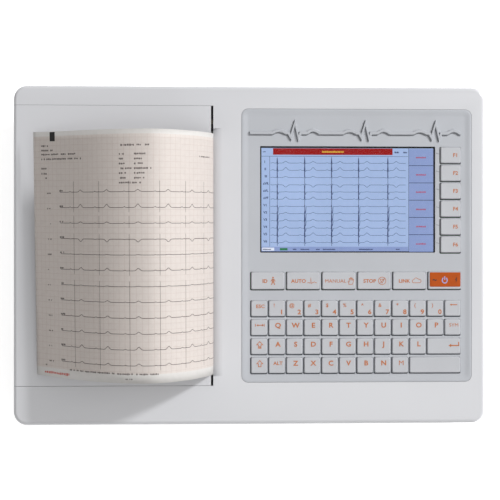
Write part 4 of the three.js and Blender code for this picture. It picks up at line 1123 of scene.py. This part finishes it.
def display():
    """What the screen shows. Places are in mm to the right of its left edge and below its top."""
    left, top = SCREEN_X[0], SCREEN_Y[1]
    ink = {
        name: Ink(on_deck(SCREEN_Z + lift), thickness=0.02)
        for name, (_, lift) in SCREEN_LAYERS.items()
    }

    def bar(layer, x0, y0, x1, y1):
        ink[layer].bar(left + x0, top - y1, left + x1, top - y0)

    def word(layer, x0, x1, y, height, seed):
        screen_word(ink[layer], left + x0, top - y, x1 - x0, height, seed)

    bar("screen_face", 0, 0, SCREEN_X[1] - SCREEN_X[0], SCREEN_Y[1] - SCREEN_Y[0])
    bar("screen_banner", 10.3, 0.2, 117.0, 6.0)
    word("screen_banner_words", 54, 73.5, 3.2, 1.8, 1)
    word("screen_lines", 118.8, 122.8, 3.6, 1.5, 2)
    word("screen_lines", 126.6, 130.0, 3.6, 1.5, 3)
    word("screen_lines", 1.2, 4.0, 3.4, 0.8, 4)
    bar("screen_lines", 0, 7.2, 130.6, 7.5)
    bar("screen_lines", 7.2, 7.6, 7.5, 87.4)
    for row, (lead, waves) in enumerate(zip(LEADS, LEAD_WAVES)):
        middle = 13.4 + row * SCREEN_ROW
        words_x = left + 2.4 + 0.5 * len(lead)
        ink["screen_lines"].text(lead, words_x, top - middle + 1.2, 2.1, weight=0.04)
        points = trace(8.0, 129.0, SCREEN_BEATS, waves, speed=25.0, gain=7.6, step=0.8)
        ink["screen_traces"].stroke([(left + x, top - middle + y) for x, y in points], 0.34)
    for beat in SCREEN_BEATS:
        bar("screen_lines", beat - 0.18, 9.2, beat + 0.18, 87.0)
        for start, end in SPIKE_SPANS:
            bar("screen_spikes", beat - 0.42, start, beat + 0.3, end)
    for key in range(6):
        start = 0.5 + key * SOFTKEY_PITCH
        end = start + SOFTKEY_HEIGHT
        bar("screen_softkeys", 131.9, start, 153.5, end)
        word("screen_softkey_words", 138.0, 147.0, start + 7.6, 1.4, 10 + key)
        bar("screen_lines", 131.4, end, 153.5, end + 0.6)
    bar("screen_lines", 131.3, 0, 131.7, 92.0)
    bar("screen_softkeys", 0, 87.7, 131.0, 91.8)
    bar("screen_white_box", 0.6, 88.5, 11.4, 91.2)
    word("screen_lines", 1.2, 8.6, 90.0, 1.0, 5)
    bar("screen_green_box", 16.4, 88.9, 23.2, 90.9)
    for seed, (x0, x1) in enumerate(STATUS_WORDS):
        word("screen_lines", x0, x1, 90.0, 1.1, 20 + seed)
    for name, (material, _) in SCREEN_LAYERS.items():
        place(ink[name].made(name), "root", material, "display_module")


def display_module():
    """The module's frame behind the lit face, with the black border that shows round it."""
    x, y, z = deck_box("lcd_module")
    module = block("display_frame", x, y, (z[0], -4.6), DECK, radius=1.5)
    raised = block("raised", (7, 165.4), (1, 98), (-5, SCREEN_Z - 0.1), DECK, radius=0.8)
    boolean(module, "UNION", [raised])
    soften(module, 0.25)
    place(module, "root", BEZEL, "black_plastic", "lcd_module")


def display_window():
    """The clear lens over the screen."""
    lens = block("display_lens", *deck_box("display_window"), DECK, radius=0.6)
    soften(lens, 0.15)
    place(lens, "root", LENS, "display_lens", "display_window")


# ---- Printed sheet ---------------------------------------------------------------------

PLATEN_RADIUS = 6.8
WRAP = PLATEN_RADIUS + 0.45
SLOT_X = PLATEN_X + WRAP
PACK_TOP = -25.6
ARCH = 57.0
FREE_END = (-189.9, 2.0)
# How much higher the free end stands at the rear, and how far its front is pulled in.
END_LIFT = 7.0
END_SKEW = 3.2
# How far the middle of the arch leans to the front.
SAG = 1.9
# The height of the sheet's ripple across its width, and its length for each radian.
RIPPLE_HEIGHT, RIPPLE_LENGTH = 0.4, 34
PAPER_Y = (-104.4, 107.0)


def cubic(a, b, c, d, steps):
    """Points along a Bezier curve from a to d, without a itself."""
    points = []
    for i in range(1, steps + 1):
        t = i / steps
        weights = ((1 - t) ** 3, 3 * t * (1 - t) ** 2, 3 * t * t * (1 - t), t**3)
        points.append(tuple(sum(w * p[k] for w, p in zip(weights, (a, b, c, d))) for k in (0, 1)))
    return points


def sheet_path():
    """The sheet's line in x and z, and the distance along it from the slot."""
    inside = [(-64.0, PACK_TOP + 0.5), (-54.0, PACK_TOP + 1.0)]
    under = PLATEN_Z - WRAP
    inside += cubic(inside[-1], (-50.0, PACK_TOP + 1.6), (-46.0, under), (PLATEN_X, under), 8)
    for step in range(1, 13):
        angle = -math.pi / 2 + math.pi / 2 * step / 12
        inside.append((PLATEN_X + WRAP * math.cos(angle), PLATEN_Z + WRAP * math.sin(angle)))
    inside.append((SLOT_X, -7.0))
    slot = (SLOT_X, 0.0)
    crest = (-88.0, ARCH)
    outside = cubic(slot, (-27.0, 10.0), (-60.0, ARCH), crest, 48)
    outside += cubic(crest, (-123.0, ARCH), (-151.0, 31.5), FREE_END, 48)
    points = inside + [slot] + outside
    distances = [0.0]
    for a, b in zip(points, points[1:]):
        distances.append(distances[-1] + math.dist(a, b))
    offset = distances[len(inside)]
    return points, [d - offset for d in distances]


SHEET_POINTS, SHEET_PLACES = sheet_path()
SHEET_END = SHEET_PLACES[-1]


def on_sheet(s, y, lift):
    """A point of the row frame over the sheet: s along the paper from the slot, y across it."""
    share = max(0.0, s / SHEET_END)
    rearward = (y - PAPER_Y[0]) / (PAPER_Y[1] - PAPER_Y[0])
    s -= END_SKEW * (1 - rearward) * share
    s = max(SHEET_PLACES[0], min(SHEET_END, s))
    i = 1
    while i < len(SHEET_PLACES) - 1 and SHEET_PLACES[i] < s:
        i += 1
    t = (s - SHEET_PLACES[i - 1]) / (SHEET_PLACES[i] - SHEET_PLACES[i - 1])
    (ax, az), (bx, bz) = SHEET_POINTS[i - 1], SHEET_POINTS[i]
    length = math.dist((ax, az), (bx, bz))
    out_x, out_z = (bz - az) / length, -(bx - ax) / length
    sag = -SAG * math.sin(math.pi * share)
    ripple = RIPPLE_HEIGHT * share * math.sin(y / RIPPLE_LENGTH + 1.0)
    rise = END_LIFT * rearward * share**2 + ripple
    x = ax + (bx - ax) * t + out_x * lift
    z = az + (bz - az) * t + out_z * lift + rise
    return DECK @ Vector((x, y + sag, z))


def chart_paper(name):
    """Thermal chart paper: faint fibres, a 1 mm and 5 mm grid, and blank margins. The grid
    follows the sheet's UV map, which is in metres along and across the paper."""
    nodes = Nodes(name)
    uv = nodes.coordinates("UV")
    split = nodes.add("ShaderNodeSeparateXYZ")
    nodes.link(uv, split.inputs["Vector"])
    along, across = split.outputs["X"], split.outputs["Y"]
    fibres = nodes.noise(nodes.coordinates(), 0.004, detail=4)
    blank = nodes.blend(fibres, linear("ceccc9"), linear("d3d0ce"))
    tinted = nodes.blend(fibres, linear("cfc8c3"), linear("d4cdc8"))

    def lines(pitch, width):
        masks = [
            nodes.math("LESS_THAN", nodes.math("PINGPONG", place, pitch / 2), width / 2)
            for place in (along, across)
        ]
        return nodes.math("MAXIMUM", *masks)

    fine = nodes.math("MULTIPLY", lines(0.001, 0.0002), 0.28)
    coarse = nodes.math("MULTIPLY", lines(0.005, 0.00036), 0.42)
    grid = nodes.math("MAXIMUM", fine, coarse)
    low = nodes.math("GREATER_THAN", across, (PAPER_Y[0] + 7.5) * MM)
    high = nodes.math("LESS_THAN", across, (PAPER_Y[1] - 4.0) * MM)
    inside = nodes.math("MULTIPLY", low, high)
    ruled = nodes.mix(grid, tinted, linear("a98f86"))
    nodes.set("Base Color", nodes.mix(inside, blank, ruled))
    nodes.set("Roughness", nodes.spread(fibres, 0.5, 0.62))
    nodes.bump(nodes.noise(nodes.coordinates(), 0.0006), 0.00002)
    return nodes.material


PAPER = chart_paper("chart_paper_grid")


def printed_sheet():
    """The sheet as a thin closed skin over a fine net of points."""
    across, along, half_thickness = 28, len(SHEET_PLACES) - 1, 0.08
    top, bottom, places = [], [], []
    for s in SHEET_PLACES:
        for j in range(across + 1):
            y = PAPER_Y[0] + (PAPER_Y[1] - PAPER_Y[0]) * j / across
            top.append(on_sheet(s, y, half_thickness))
            bottom.append(on_sheet(s, y, -half_thickness))
            places.append((s * MM, y * MM))
    count, width = len(top), across + 1
    faces = []
    for i in range(along):
        for j in range(across):
            a = i * width + j
            faces.append((a, a + 1, a + width + 1, a + width))
            faces.append((count + a, count + a + width, count + a + width + 1, count + a + 1))
    net = len(faces)
    last = along * width
    for j in range(across):
        faces.append((j + 1, j, count + j, count + j + 1))
        faces.append((last + j, last + j + 1, count + last + j + 1, count + last + j))
    for i in range(along):
        a, b = i * width, (i + 1) * width
        faces.append((a, b, count + b, count + a))
        a, b = a + across, b + across
        faces.append((b, a, count + a, count + b))
    sheet = draft("chart_sheet", top + bottom, faces)
    layer = sheet.data.uv_layers.new(name="UVMap")
    for loop in sheet.data.loops:
        layer.data[loop.index].uv = places[loop.vertex_index % count]
    sheet.data.polygons.foreach_set("use_smooth", [i < net for i in range(len(sheet.data.polygons))])
    place(sheet, "root", PAPER, "chart_paper", "printed_sheet")


TRACE_INK = surface("thermal_print_black", "4a4342", 0.6, tint=0.15, patch=0.002, grain=0.0003)
PALE_INK = surface("thermal_print_grey", "5d5553", 0.6, tint=0.1, patch=0.002, grain=0.0003)
CUE_INK = surface("sheet_cue_black", "151314", 0.5, tint=0.2, patch=0.003, grain=0.0003)
RED_INK = surface("sheet_red_mark", "c0584e", 0.6, tint=0.1, patch=0.002, grain=0.0003)
# In mm for each second of the recording.
PAPER_SPEED = 25.3
# Where the beats fall along the sheet, in mm from the slot.
BEATS = (0.7, 26.0, 49.5, 74.8, 100.7, 128.5, 155.6)
FIRST_ROW = 54.8
ROW_PITCH = 13.15
TRACE_START = 172.0
# Lengths of the header's rows of print, in mm.
HEADER_NAMES = (4, 4, 5, 11, 6, 6)
HEADER_VALUES = (9, 8, 7, 14, 8, 8)


def print_line(ink, start, end, y, height, seed, density=0.85):
    """A line of small print, from s = start towards the slot."""
    source = random.Random(seed)
    s = start
    while s > end:
        step = source.uniform(0.5, 1.1) * height
        if source.random() < density:
            low = y - height / 2 * source.uniform(0.5, 1.0)
            ink.bar(s - step * 0.7, low, s, y + height / 2 * source.uniform(0.6, 1.0))
        s -= step


def sheet_header(ink, block_mark):
    """Rows of small print above the traces, in place of words, and the black cue mark."""
    block_mark.bar(176.9, 98.6, 183.0, 106.6)
    left_rows = ((94.6, 7), (90.8, 13), (87.3, 40), (83.3, 48), (75.2, 6), (70.8, 6), (66.9, 8))
    start = 193.4
    for seed, (y, length) in enumerate(left_rows):
        print_line(ink, start, start - length, y, 1.7, 30 + seed)
    print_line(ink, 109.2, 83.6, 93.6, 1.8, 40)
    names_start, values_start = 109.2, 96.1
    for row, (name, value) in enumerate(zip(HEADER_NAMES, HEADER_VALUES)):
        y = 86.2 - row * 4.0
        print_line(ink, names_start, names_start - name, y, 1.7, 50 + row)
        print_line(ink, values_start, values_start - value, y, 1.7, 60 + row)
    print_line(ink, names_start, 91.0, 62.3, 1.7, 70)
    print_line(ink, 32.7, 16.0, 85.4, 1.4, 71)


def sheet_footer(ink, red):
    """The rows of small print along the front margin, one of them red."""
    print_line(ink, 191.6, 187.6, -94.6, 1.5, 80)
    print_line(ink, 162.2, 115.1, -96.6, 1.6, 81)
    print_line(ink, 112.4, 75.7, -96.8, 1.6, 82)
    print_line(ink, 105.9, 98.8, -101.0, 1.2, 83, density=0.6)
    print_line(red, 192.9, 162.8, -101.0, 2.4, 84, density=1.0)


def sheet_traces(black, pale):
    """Twelve leads. The quick strokes of each beat come out thinner and paler than the rest."""
    for row, (r, s, t) in enumerate(LEAD_WAVES):
        middle = FIRST_ROW - row * ROW_PITCH
        slow = trace(-6.0, TRACE_START, BEATS, (0.04 * r, 0.0, t), -PAPER_SPEED, gain=8.5, step=0.9)
        black.stroke([(along, middle + height) for along, height in slow], 0.42)
        top, bottom = 9.5 * max(r, 0.25) + 2.0, -9.5 * max(-s, -r, 0.2) - 2.0
        for beat in BEATS[1:]:
            pale.stroke([(beat, middle + bottom), (beat, middle + top)], 0.26)
        print_line(black, TRACE_START, TRACE_START - 4.0, middle + 1.2, 1.7, 90 + row)
        print_line(pale, 187.0, 182.5, middle - 0.9, 1.3, 110 + row, density=0.6)


def printed_marks():
    """All the print on the sheet."""
    inks = {
        "sheet_traces": (TRACE_INK, "black_plastic"), "sheet_print": (PALE_INK, "black_plastic"),
        "sheet_cue_mark": (CUE_INK, "black_plastic"), "sheet_red_mark": (RED_INK, "key_orange"),
    }
    ink = {name: Ink(lambda s, y, lift: on_sheet(s, y, 0.1 + lift), thickness=0.03) for name in inks}
    sheet_header(ink["sheet_print"], ink["sheet_cue_mark"])
    sheet_footer(ink["sheet_print"], ink["sheet_red_mark"])
    sheet_traces(ink["sheet_traces"], ink["sheet_print"])
    for name, (material, slot) in inks.items():
        place(ink[name].made(name), "root", material, slot)


# ---- Stage, light and camera -----------------------------------------------------------


def stage():
    """A white table that glows a little, so that its shadows stay pale."""
    reach, drop = 4.0, 0.0004
    corners = [(-reach, -reach, 0), (reach, -reach, 0), (reach, reach, 0), (-reach, reach, 0)]
    floor = draft("floor", corners, [(0, 1, 2, 3)])
    floor.location.z = -drop
    nodes = Nodes("studio_floor")
    clouds = nodes.noise(nodes.coordinates(), 0.5)
    white = nodes.blend(clouds, (0.93, 0.93, 0.93), (0.95, 0.95, 0.95))
    nodes.set("Base Color", white)
    nodes.set("Emission Color", white)
    nodes.set("Emission Strength", 0.6)
    nodes.set("Roughness", 0.9)
    floor.data.materials.append(nodes.material)


LIGHTS_AIM = Vector((0, 0, 0.05))


def area_light(name, place_at, size, power):
    """A rectangular lamp that shines at the object, in metres and watts."""
    light = bpy.data.lights.new(name, "AREA")
    light.shape = "RECTANGLE"
    light.size, light.size_y = size
    light.energy = power
    thing = bpy.data.objects.new(name, light)
    thing.location = place_at
    thing.rotation_euler = (LIGHTS_AIM - Vector(place_at)).to_track_quat("-Z", "Y").to_euler()
    bpy.context.scene.collection.objects.link(thing)


SKY_BRIGHTEST = (0.4, -0.18, 0.9)
SKY_DIM, SKY_BRIGHT = (0.12, 0.118, 0.115), (1.0, 0.99, 0.975)


def lights():
    """A sky that brightens towards one side, a low key light from the right rear and soft fills."""
    world = bpy.data.worlds.new("studio")
    world.use_nodes = True
    tree = world.node_tree
    background = tree.nodes["Background"]
    facing = tree.nodes.new("ShaderNodeVectorMath")
    facing.operation = "DOT_PRODUCT"
    facing.inputs[1].default_value = SKY_BRIGHTEST
    ramp = tree.nodes.new("ShaderNodeValToRGB")
    dim, bright = ramp.color_ramp.elements
    dim.color = (*SKY_DIM, 1)
    bright.position = 0.75
    bright.color = (*SKY_BRIGHT, 1)
    tree.links.new(tree.nodes.new("ShaderNodeTexCoord").outputs["Generated"], facing.inputs[0])
    tree.links.new(facing.outputs["Value"], ramp.inputs["Fac"])
    tree.links.new(ramp.outputs["Color"], background.inputs["Color"])
    background.inputs["Strength"].default_value = 0.63
    bpy.context.scene.world = world
    area_light("key_light", (4.37, 2.7, 3.34), (0.6, 0.6), 264)
    area_light("fill_light", (0.95, 0.25, 0.95), (0.9, 0.9), 2.5)
    area_light("front_softbox", (0.0, -0.78, 2.2), (1.8, 0.6), 4.0)


def camera():
    """Almost straight above the deck, square to its slope, with the right side a little further away."""
    distance, tilt = 950.0, math.radians(2.0)
    aim = Vector((-0.83, 4.5, 0.0))
    data = bpy.data.cameras.new("camera")
    data.sensor_width = 36.0
    data.lens = 77.3
    thing = bpy.data.objects.new("camera", data)
    back = Vector((-math.sin(tilt), 0.0, math.cos(tilt)))
    right = Vector((math.cos(tilt), 0.0, math.sin(tilt)))
    up = back.cross(right)
    turn = Matrix((right, up, back)).transposed().to_4x4()
    turn.translation = aim + back * distance
    pose = DECK @ turn
    pose.translation *= MM
    thing.matrix_world = pose
    bpy.context.scene.collection.objects.link(thing)
    bpy.context.scene.camera = thing


# ---- Printer pieces --------------------------------------------------------------------

GREEN_LAMP = surface("port_lamp_green", "6f9a52", 0.3, tint=0.05, patch=0.02, spread=0.05,
                     grain=0.0004, depth=0.000005)
BLANK_PAPER = surface("folded_paper_edges", "d9d5d0", 0.8, tint=0.06, patch=0.02, spread=0.05,
                      grain=0.0006, depth=0.00001)


def paper_pack():
    """The fan-folded pack: every leaf stands out of the stack by a slightly different amount."""
    x, y, z = deck_box("paper_pack")
    chance = random.Random(11)
    leaves = 27
    pitch = (z[1] - z[0]) / leaves
    rings = []
    for leaf in range(leaves):
        low = z[0] + leaf * pitch
        sides = [chance.uniform(0.05, 0.4) for _ in range(4)]
        for height, inset in ((0.0, 0.75), (0.22, 0.0), (0.78, 0.0), (1.0, 0.75)):
            left, right, front, rear = (side + inset for side in sides)
            leaf_x, leaf_y = (x[0] + left, x[1] - right), (y[0] + front, y[1] - rear)
            rings.append(rounded_ring(leaf_x, leaf_y, 0.4, low + height * pitch, 1))
    pack = draft("paper_pack_leaves", *loft(rings), DECK)
    place(pack, "root", BLANK_PAPER, "chart_paper", "paper_pack")


def paper_tray():
    """The tray under the pack, open towards the platen, with a thumb cut at its left."""
    x, y, z = deck_box("paper_tray")
    wall = 2
    tray = block("paper_tray_moulding", x, y, z, DECK, radius=3)
    hollow = block("hollow", grow(x, -wall), grow(y, -wall), (z[0] + wall, z[1] + 5), DECK, radius=2)
    mouth = block("mouth", around(x[1], 4), grow(y, -10), (z[1] - 3, z[1] + 5), DECK)
    thumb = turned("thumb", [(16, -4), (16, 4)], (x[0], (y[0] + y[1]) / 2, z[1] + 3), "x", DECK)
    boolean(tray, "DIFFERENCE", [hollow, mouth, thumb])
    soften(tray, 0.5)
    place(tray, "root", TRAY, "tray_grey", "paper_tray")


def platen():
    """The rubber roller with a fine ground texture, its stepped steel shaft and two bushes."""
    front, rear = -105.5, 108.5
    profile = [(4.6, front), (6.3, front), (6.75, front + 0.45)]
    for groove in range(42):
        y = front + 2.5 + groove * 5.0
        profile += [(6.78, y), (6.66, y + 0.25), (6.66, y + 0.5), (6.78, y + 0.75)]
    profile += [(6.75, rear - 0.45), (6.3, rear), (4.6, rear)]
    roller = turned("platen_rubber_sleeve", profile, PLATEN_CENTRE, "y", DECK, 64)
    place(roller, "platen", PLATEN_RUBBER, "platen_rubber", "platen_roller")
    front, rear = deck_box("platen_shaft")[1]
    radius, clip_radius = 2.5, 2.05
    profile = [(1.9, front), (radius, front + 0.6)]
    for near, far in ((-108.2, -107.3), (109.3, 110.2)):
        profile += [(radius, near), (clip_radius, near), (clip_radius, far), (radius, far)]
    profile += [(radius, rear - 0.6), (1.9, rear)]
    shaft = turned("platen_steel_shaft", profile, PLATEN_CENTRE, "y", DECK, 40)
    place(shaft, "platen", STEEL, "steel", "platen_shaft")
    for node in ("platen_bush_front", "platen_bush_rear"):
        front, rear = deck_box(node)[1]
        profile = [(2.9, front + 0.35), (3.3, front), (4.1, front), (4.5, front + 0.4),
                   (4.5, rear - 0.4), (4.1, rear), (3.3, rear), (2.9, rear - 0.35)]
        bush = turned(node + "_bronze", profile, PLATEN_CENTRE, "y", DECK, 40)
        bore = turned("bore", [(2.75, front - 1), (2.75, rear + 1)], PLATEN_CENTRE, "y", DECK, 40)
        boolean(bush, "DIFFERENCE", [bore])
        place(bush, "paper_door", BRASS, "brass", node)


def tear_bar():
    """A thin steel strip with fine teeth along the slot."""
    (left, right), (front, rear), (low, high) = deck_box("tear_bar")
    count = round((rear - front) / 2)
    pitch, root = (rear - front) / count, left + 1.0
    points = [(right, rear)]
    for tooth in range(count):
        top = rear - tooth * pitch
        points += [(root, top), (left, top - pitch / 2)]
    points += [(root, front), (right, front)]
    bar = extruded("tear_bar_teeth", on_deck(low), high - low, points)
    place(bar, "root", STEEL, "steel", "tear_bar")


def print_head():
    """The ceramic strip with its raised heater line and the black seal over the driver chips."""
    x, y, z = deck_box("print_head")
    strip = block("print_head_ceramic", (x[0] + 0.25, x[1]), y, z, DECK)
    soften(strip, 0.15)
    place(strip, "head_carriage", CERAMIC, "head_ceramic", "print_head")
    line = [(0.3, y[0] + 3), (0.5, y[0] + 3.4), (0.5, y[1] - 3.4), (0.3, y[1] - 3)]
    glaze = turned("glaze", line, (x[0] + 0.5, 0, PLATEN_Z), "y", DECK, 20)
    place(glaze, "head_carriage", DARK_STEEL, "motor_steel")
    seal = block("seal", (x[0] + 0.02, x[0] + 1), (y[0] + 6, y[1] - 6), (z[0] + 2.2, z[0] + 6.2), DECK)
    soften(seal, 0.2)
    seal.name = "print_head_chip_seal"
    place(seal, "head_carriage", BLACK, "black_plastic")


# ---- Connectors ------------------------------------------------------------------------

REAR_FACE = 149.2
RIGHT_FACE = 209.2
INLET_PINS = ((129.5, 50), (136.5, 56), (143.5, 50))
PATIENT_Y, PATIENT_Z = -60, 46
JACK_PLACE = 17
# Stands a plate up on the rear wall: its x becomes the height, its -y the x and its z the depth.
STOOD_UP = Matrix(((0, -1, 0, 0), (0, 0, 1, 0), (1, 0, 0, 0), (0, 0, 0, 1)))


def from_rear(y):
    """A surface for Ink on a plane of the row frame, which grows towards the front."""
    return lambda x, z, lift: Vector((x, y - lift, z))


def from_right(x):
    """A surface for Ink round the patient socket's middle, which grows towards the right."""
    return lambda y, z, lift: Vector((x + lift, PATIENT_Y + y, PATIENT_Z + z))


def contacts(name, xs, y, z, thickness, rise):
    """A row of narrow gold contacts that run along y."""
    row = merge(name, [block("contact", around(x, thickness), y, (z, z + rise)) for x in xs])
    place(row, "root", BRASS, "brass")


def mains_inlet():
    """Black three-pin inlet with an island round its pins and a bay for the fuse drawer."""
    flange = block("mains_inlet_moulding", (38, 68), (-172, -118), (146.9, REAR_FACE), radius=2.5)
    flange.data.transform(STOOD_UP)
    boolean(flange, "UNION", [block("body", (121.2, 168.8), (116.3, 147.5), (41.2, 64.8))])
    socket = extruded("socket", from_rear(155), 25, [
        (124, 44.5), (149, 44.5), (149, 57.5), (145, 61.5), (128, 61.5), (124, 57.5)])
    island = extruded("island", from_rear(147.5), 18.5, [
        (127, 47.0), (146, 47.0), (146, 56.6), (143.6, 59.0), (129.4, 59.0), (127, 56.6)])
    bay = block("bay", (153, 165.5), (120, 155), (46, 60))
    boolean(flange, "DIFFERENCE", [socket, bay])
    boolean(flange, "UNION", [island])
    slots = [block("slot", around(x, 1.6), (131, 155), around(z, 2.6)) for x, z in INLET_PINS]
    boolean(flange, "DIFFERENCE", slots)
    soften(flange, 0.3)
    place(flange, "root", BLACK, "black_plastic", "mains_inlet")
    pins = [block("pin", around(x, 0.95), (130.6, 145.4), around(z, 1.95)) for x, z in INLET_PINS]
    rounded = [soften(pin, 0.4) for pin in pins]
    place(merge("mains_inlet_pins", rounded), "root", NICKEL, "socket_shell")


def fuse_drawer():
    """The drawer, with a cradle for the fuse and a notch in its rear face."""
    x, y, z = row_box("fuse_drawer")
    fuse_x, fuse_y, fuse_z = row_box("mains_fuse")
    drawer = block("fuse_drawer_moulding", x, y, z)
    cradle = block("cradle", grow(fuse_x, 0.3), grow(fuse_y, 0.3), (fuse_z[0] - 0.3, z[1] + 3))
    notch_x = around((x[0] + x[1]) / 2, 3.2)
    notch = block("notch", notch_x, (y[1] - 1.2, y[1] + 3), (z[1] - 3.6, z[1] - 1.2))
    boolean(drawer, "DIFFERENCE", [cradle, notch])
    soften(drawer, 0.25)
    place(drawer, "fuse_drawer", BLACK, "black_plastic", "fuse_drawer")


def lan_port():
    """A metal shell with a latch recess, a black lining, eight contacts and two lamps."""
    x, y, z = row_box("lan_port")
    rear, lamp_places = y[1], (73.6, 82.4)
    shell = block("lan_port_shell", x, y, z)
    cavity = block("cavity", (72, 84), (130.5, 155), (43.2, 51))
    latch = block("latch", (75.2, 80.8), (136, 155), (41.6, 44))
    lamps = [block("lamp", around(at, 1.3), (rear - 0.5, 155), (51.6, 53.0)) for at in lamp_places]
    boolean(shell, "DIFFERENCE", [cavity, latch, *lamps])
    soften(shell, 0.25)
    place(shell, "root", NICKEL, "socket_shell", "lan_port")
    lining = block("lan_port_lining", (72.15, 83.85), (130.6, 131.6), (43.3, 50.85))
    shelf = block("shelf", (72.15, 83.85), (131.5, 146.5), (49.9, 50.85))
    place(merge("lan_port_lining", [lining, shelf]), "root", BLACK, "black_plastic")
    contacts("lan_port_contacts", [74.43 + 1.02 * i for i in range(8)], (132, 145), 49.3, 0.22, 0.4)
    lens_y = (rear - 0.45, rear - 0.05)
    lenses = [block("lens", around(at, 1.25), lens_y, (51.65, 52.95)) for at in lamp_places]
    place(merge("lan_port_lamps", lenses), "root", GREEN_LAMP, "display_lens")


def usb_port():
    """A metal shell round a black tongue with four contacts."""
    x, y, z = row_box("usb_port")
    shell = block("usb_port_shell", x, y, z)
    boolean(shell, "DIFFERENCE", [block("cavity", grow(x, -0.7), (133, 155), grow(z, -0.7))])
    soften(shell, 0.2)
    place(shell, "root", NICKEL, "socket_shell", "usb_port")
    tongue = block("usb_port_tongue", (49.4, 60.6), (133.1, 147.6), (44.6, 46.2))
    soften(tongue, 0.15)
    place(tongue, "root", BLACK, "black_plastic")
    contacts("usb_port_contacts", [51.5, 54.0, 56.0, 58.5], (138, 146.8), 44.4, 0.5, 0.25)


def ground_stud():
    """The threaded earth stud with two nuts."""
    _, (front, rear), _ = row_box("ground_stud")
    centre, pitch = (97, 0, 50), 0.9
    profile = [(2.2, front)]
    for turn in range(int((rear - front - 1) / pitch)):
        start = front + 0.4 + turn * pitch
        profile += [(2.55, start), (2.95, start + pitch / 2)]
    profile.append((2.2, rear))
    stud = turned("ground_stud_thread", profile, centre, "y", steps=32)
    nuts = []
    for near, far in ((141.0, 143.6), (143.9, 146.5)):
        sides = [(4.9, near), (5.4, near + 0.4), (5.4, far - 0.4), (4.9, far)]
        nuts.append(turned("nut", sides, centre, "y", steps=6))
    place(merge("ground_stud_thread", [stud, *nuts]), "root", BRASS, "brass", "ground_stud")


def patient_connector():
    """Fifteen-way lead socket: shell with slanted ends, insert with holes, and two jack screws."""
    plate = extruded("patient_connector_shell", from_right(204.0), 1.2, [
        (-20, -5), (-18.5, -6.5), (18.5, -6.5), (20, -5), (20, 5), (18.5, 6.5), (-18.5, 6.5), (-20, 5)])
    sleeve = extruded("sleeve", from_right(204.6), RIGHT_FACE - 204.6, [
        (-11.4, -4.3), (11.4, -4.3), (13, 4.3), (-13, 4.3)])
    body = block("body", (195.1, 204.3), around(PATIENT_Y, 12.5), around(PATIENT_Z, 4))
    boolean(plate, "UNION", [sleeve, body])
    opening = extruded("opening", from_right(204.8), 8, [
        (-10.8, -3.7), (10.8, -3.7), (12.3, 3.7), (-12.3, 3.7)])
    boolean(plate, "DIFFERENCE", [opening])
    soften(plate, 0.2)
    place(plate, "root", NICKEL, "socket_shell", "patient_connector")
    insert = extruded("patient_connector_insert", from_right(204.9), RIGHT_FACE - 205.3, [
        (-10.3, -3.2), (10.3, -3.2), (11.7, 3.2), (-11.7, 3.2)])
    pitch = 2.75
    pins = [(pitch * i - 9.6, 1.4) for i in range(8)] + [(pitch * i - 8.25, -1.4) for i in range(7)]
    bore = [(0.62, RIGHT_FACE - 3), (0.62, RIGHT_FACE + 2)]
    holes = [turned("hole", bore, (0, PATIENT_Y + y, PATIENT_Z + z), "x", steps=12) for y, z in pins]
    boolean(insert, "DIFFERENCE", holes)
    place(insert, "root", BLACK, "black_plastic")
    screws = []
    for side in (-JACK_PLACE, JACK_PLACE):
        centre = (0, PATIENT_Y + side, PATIENT_Z)
        sides = [(2.3, 204.9), (2.5, 205.2), (2.5, 208.5), (2.2, 208.9)]
        screw = turned("jack", sides, centre, "x", steps=6)
        thread = turned("thread", [(1.2, 206), (1.2, 212)], centre, "x", steps=16)
        screws.append(boolean(screw, "DIFFERENCE", [thread]))
    place(merge("patient_connector_jack_screws", screws), "root", STEEL, "steel")


# ---- Carried-over CAD nodes ------------------------------------------------------------

CARRIED = {
    STEEL: (*(f"case_screw_{corner}" for corner in CORNERS),
            "idler_pin", "printer_frame", "head_spring_front", "head_spring_rear"),
    DARK_STEEL: ("stepper_motor",),
    ALUMINIUM: ("head_heat_sink",),
    BRASS: ("motor_pinion",),
    GEAR: ("platen_gear", "idler_gear"),
    BOARD: ("main_board", "ecg_front_end_board", "keyboard_board"),
    BROWN_BOARD: ("power_supply_board",),
    BATTERY: ("battery_pack",),
    BLACK: ("speaker", "paper_sensor"),
    FUSE: ("mains_fuse",),
}


def carry_over():
    """Gives the CAD nodes that keep their own meshes a material each."""
    for material, nodes in CARRIED.items():
        for node in nodes:
            mesh = frame["nodes"][node].data
            mesh.materials.clear()
            mesh.materials.append(material)


# ---- Scene -----------------------------------------------------------------------------

for build in (camera, lights, stage, carry_over,
              top_shell, paper_door, base_shell, battery_door, feet,
              control_panel, tick_lines, keyboard, command_keys, power_key,
              display_module, display, display_window, printed_sheet, printed_marks,
              paper_pack, paper_tray, platen, tear_bar, print_head,
              mains_inlet, fuse_drawer, lan_port, usb_port, ground_stud, patient_connector):
    build()

bpy.context.scene.view_settings.view_transform = "Standard"
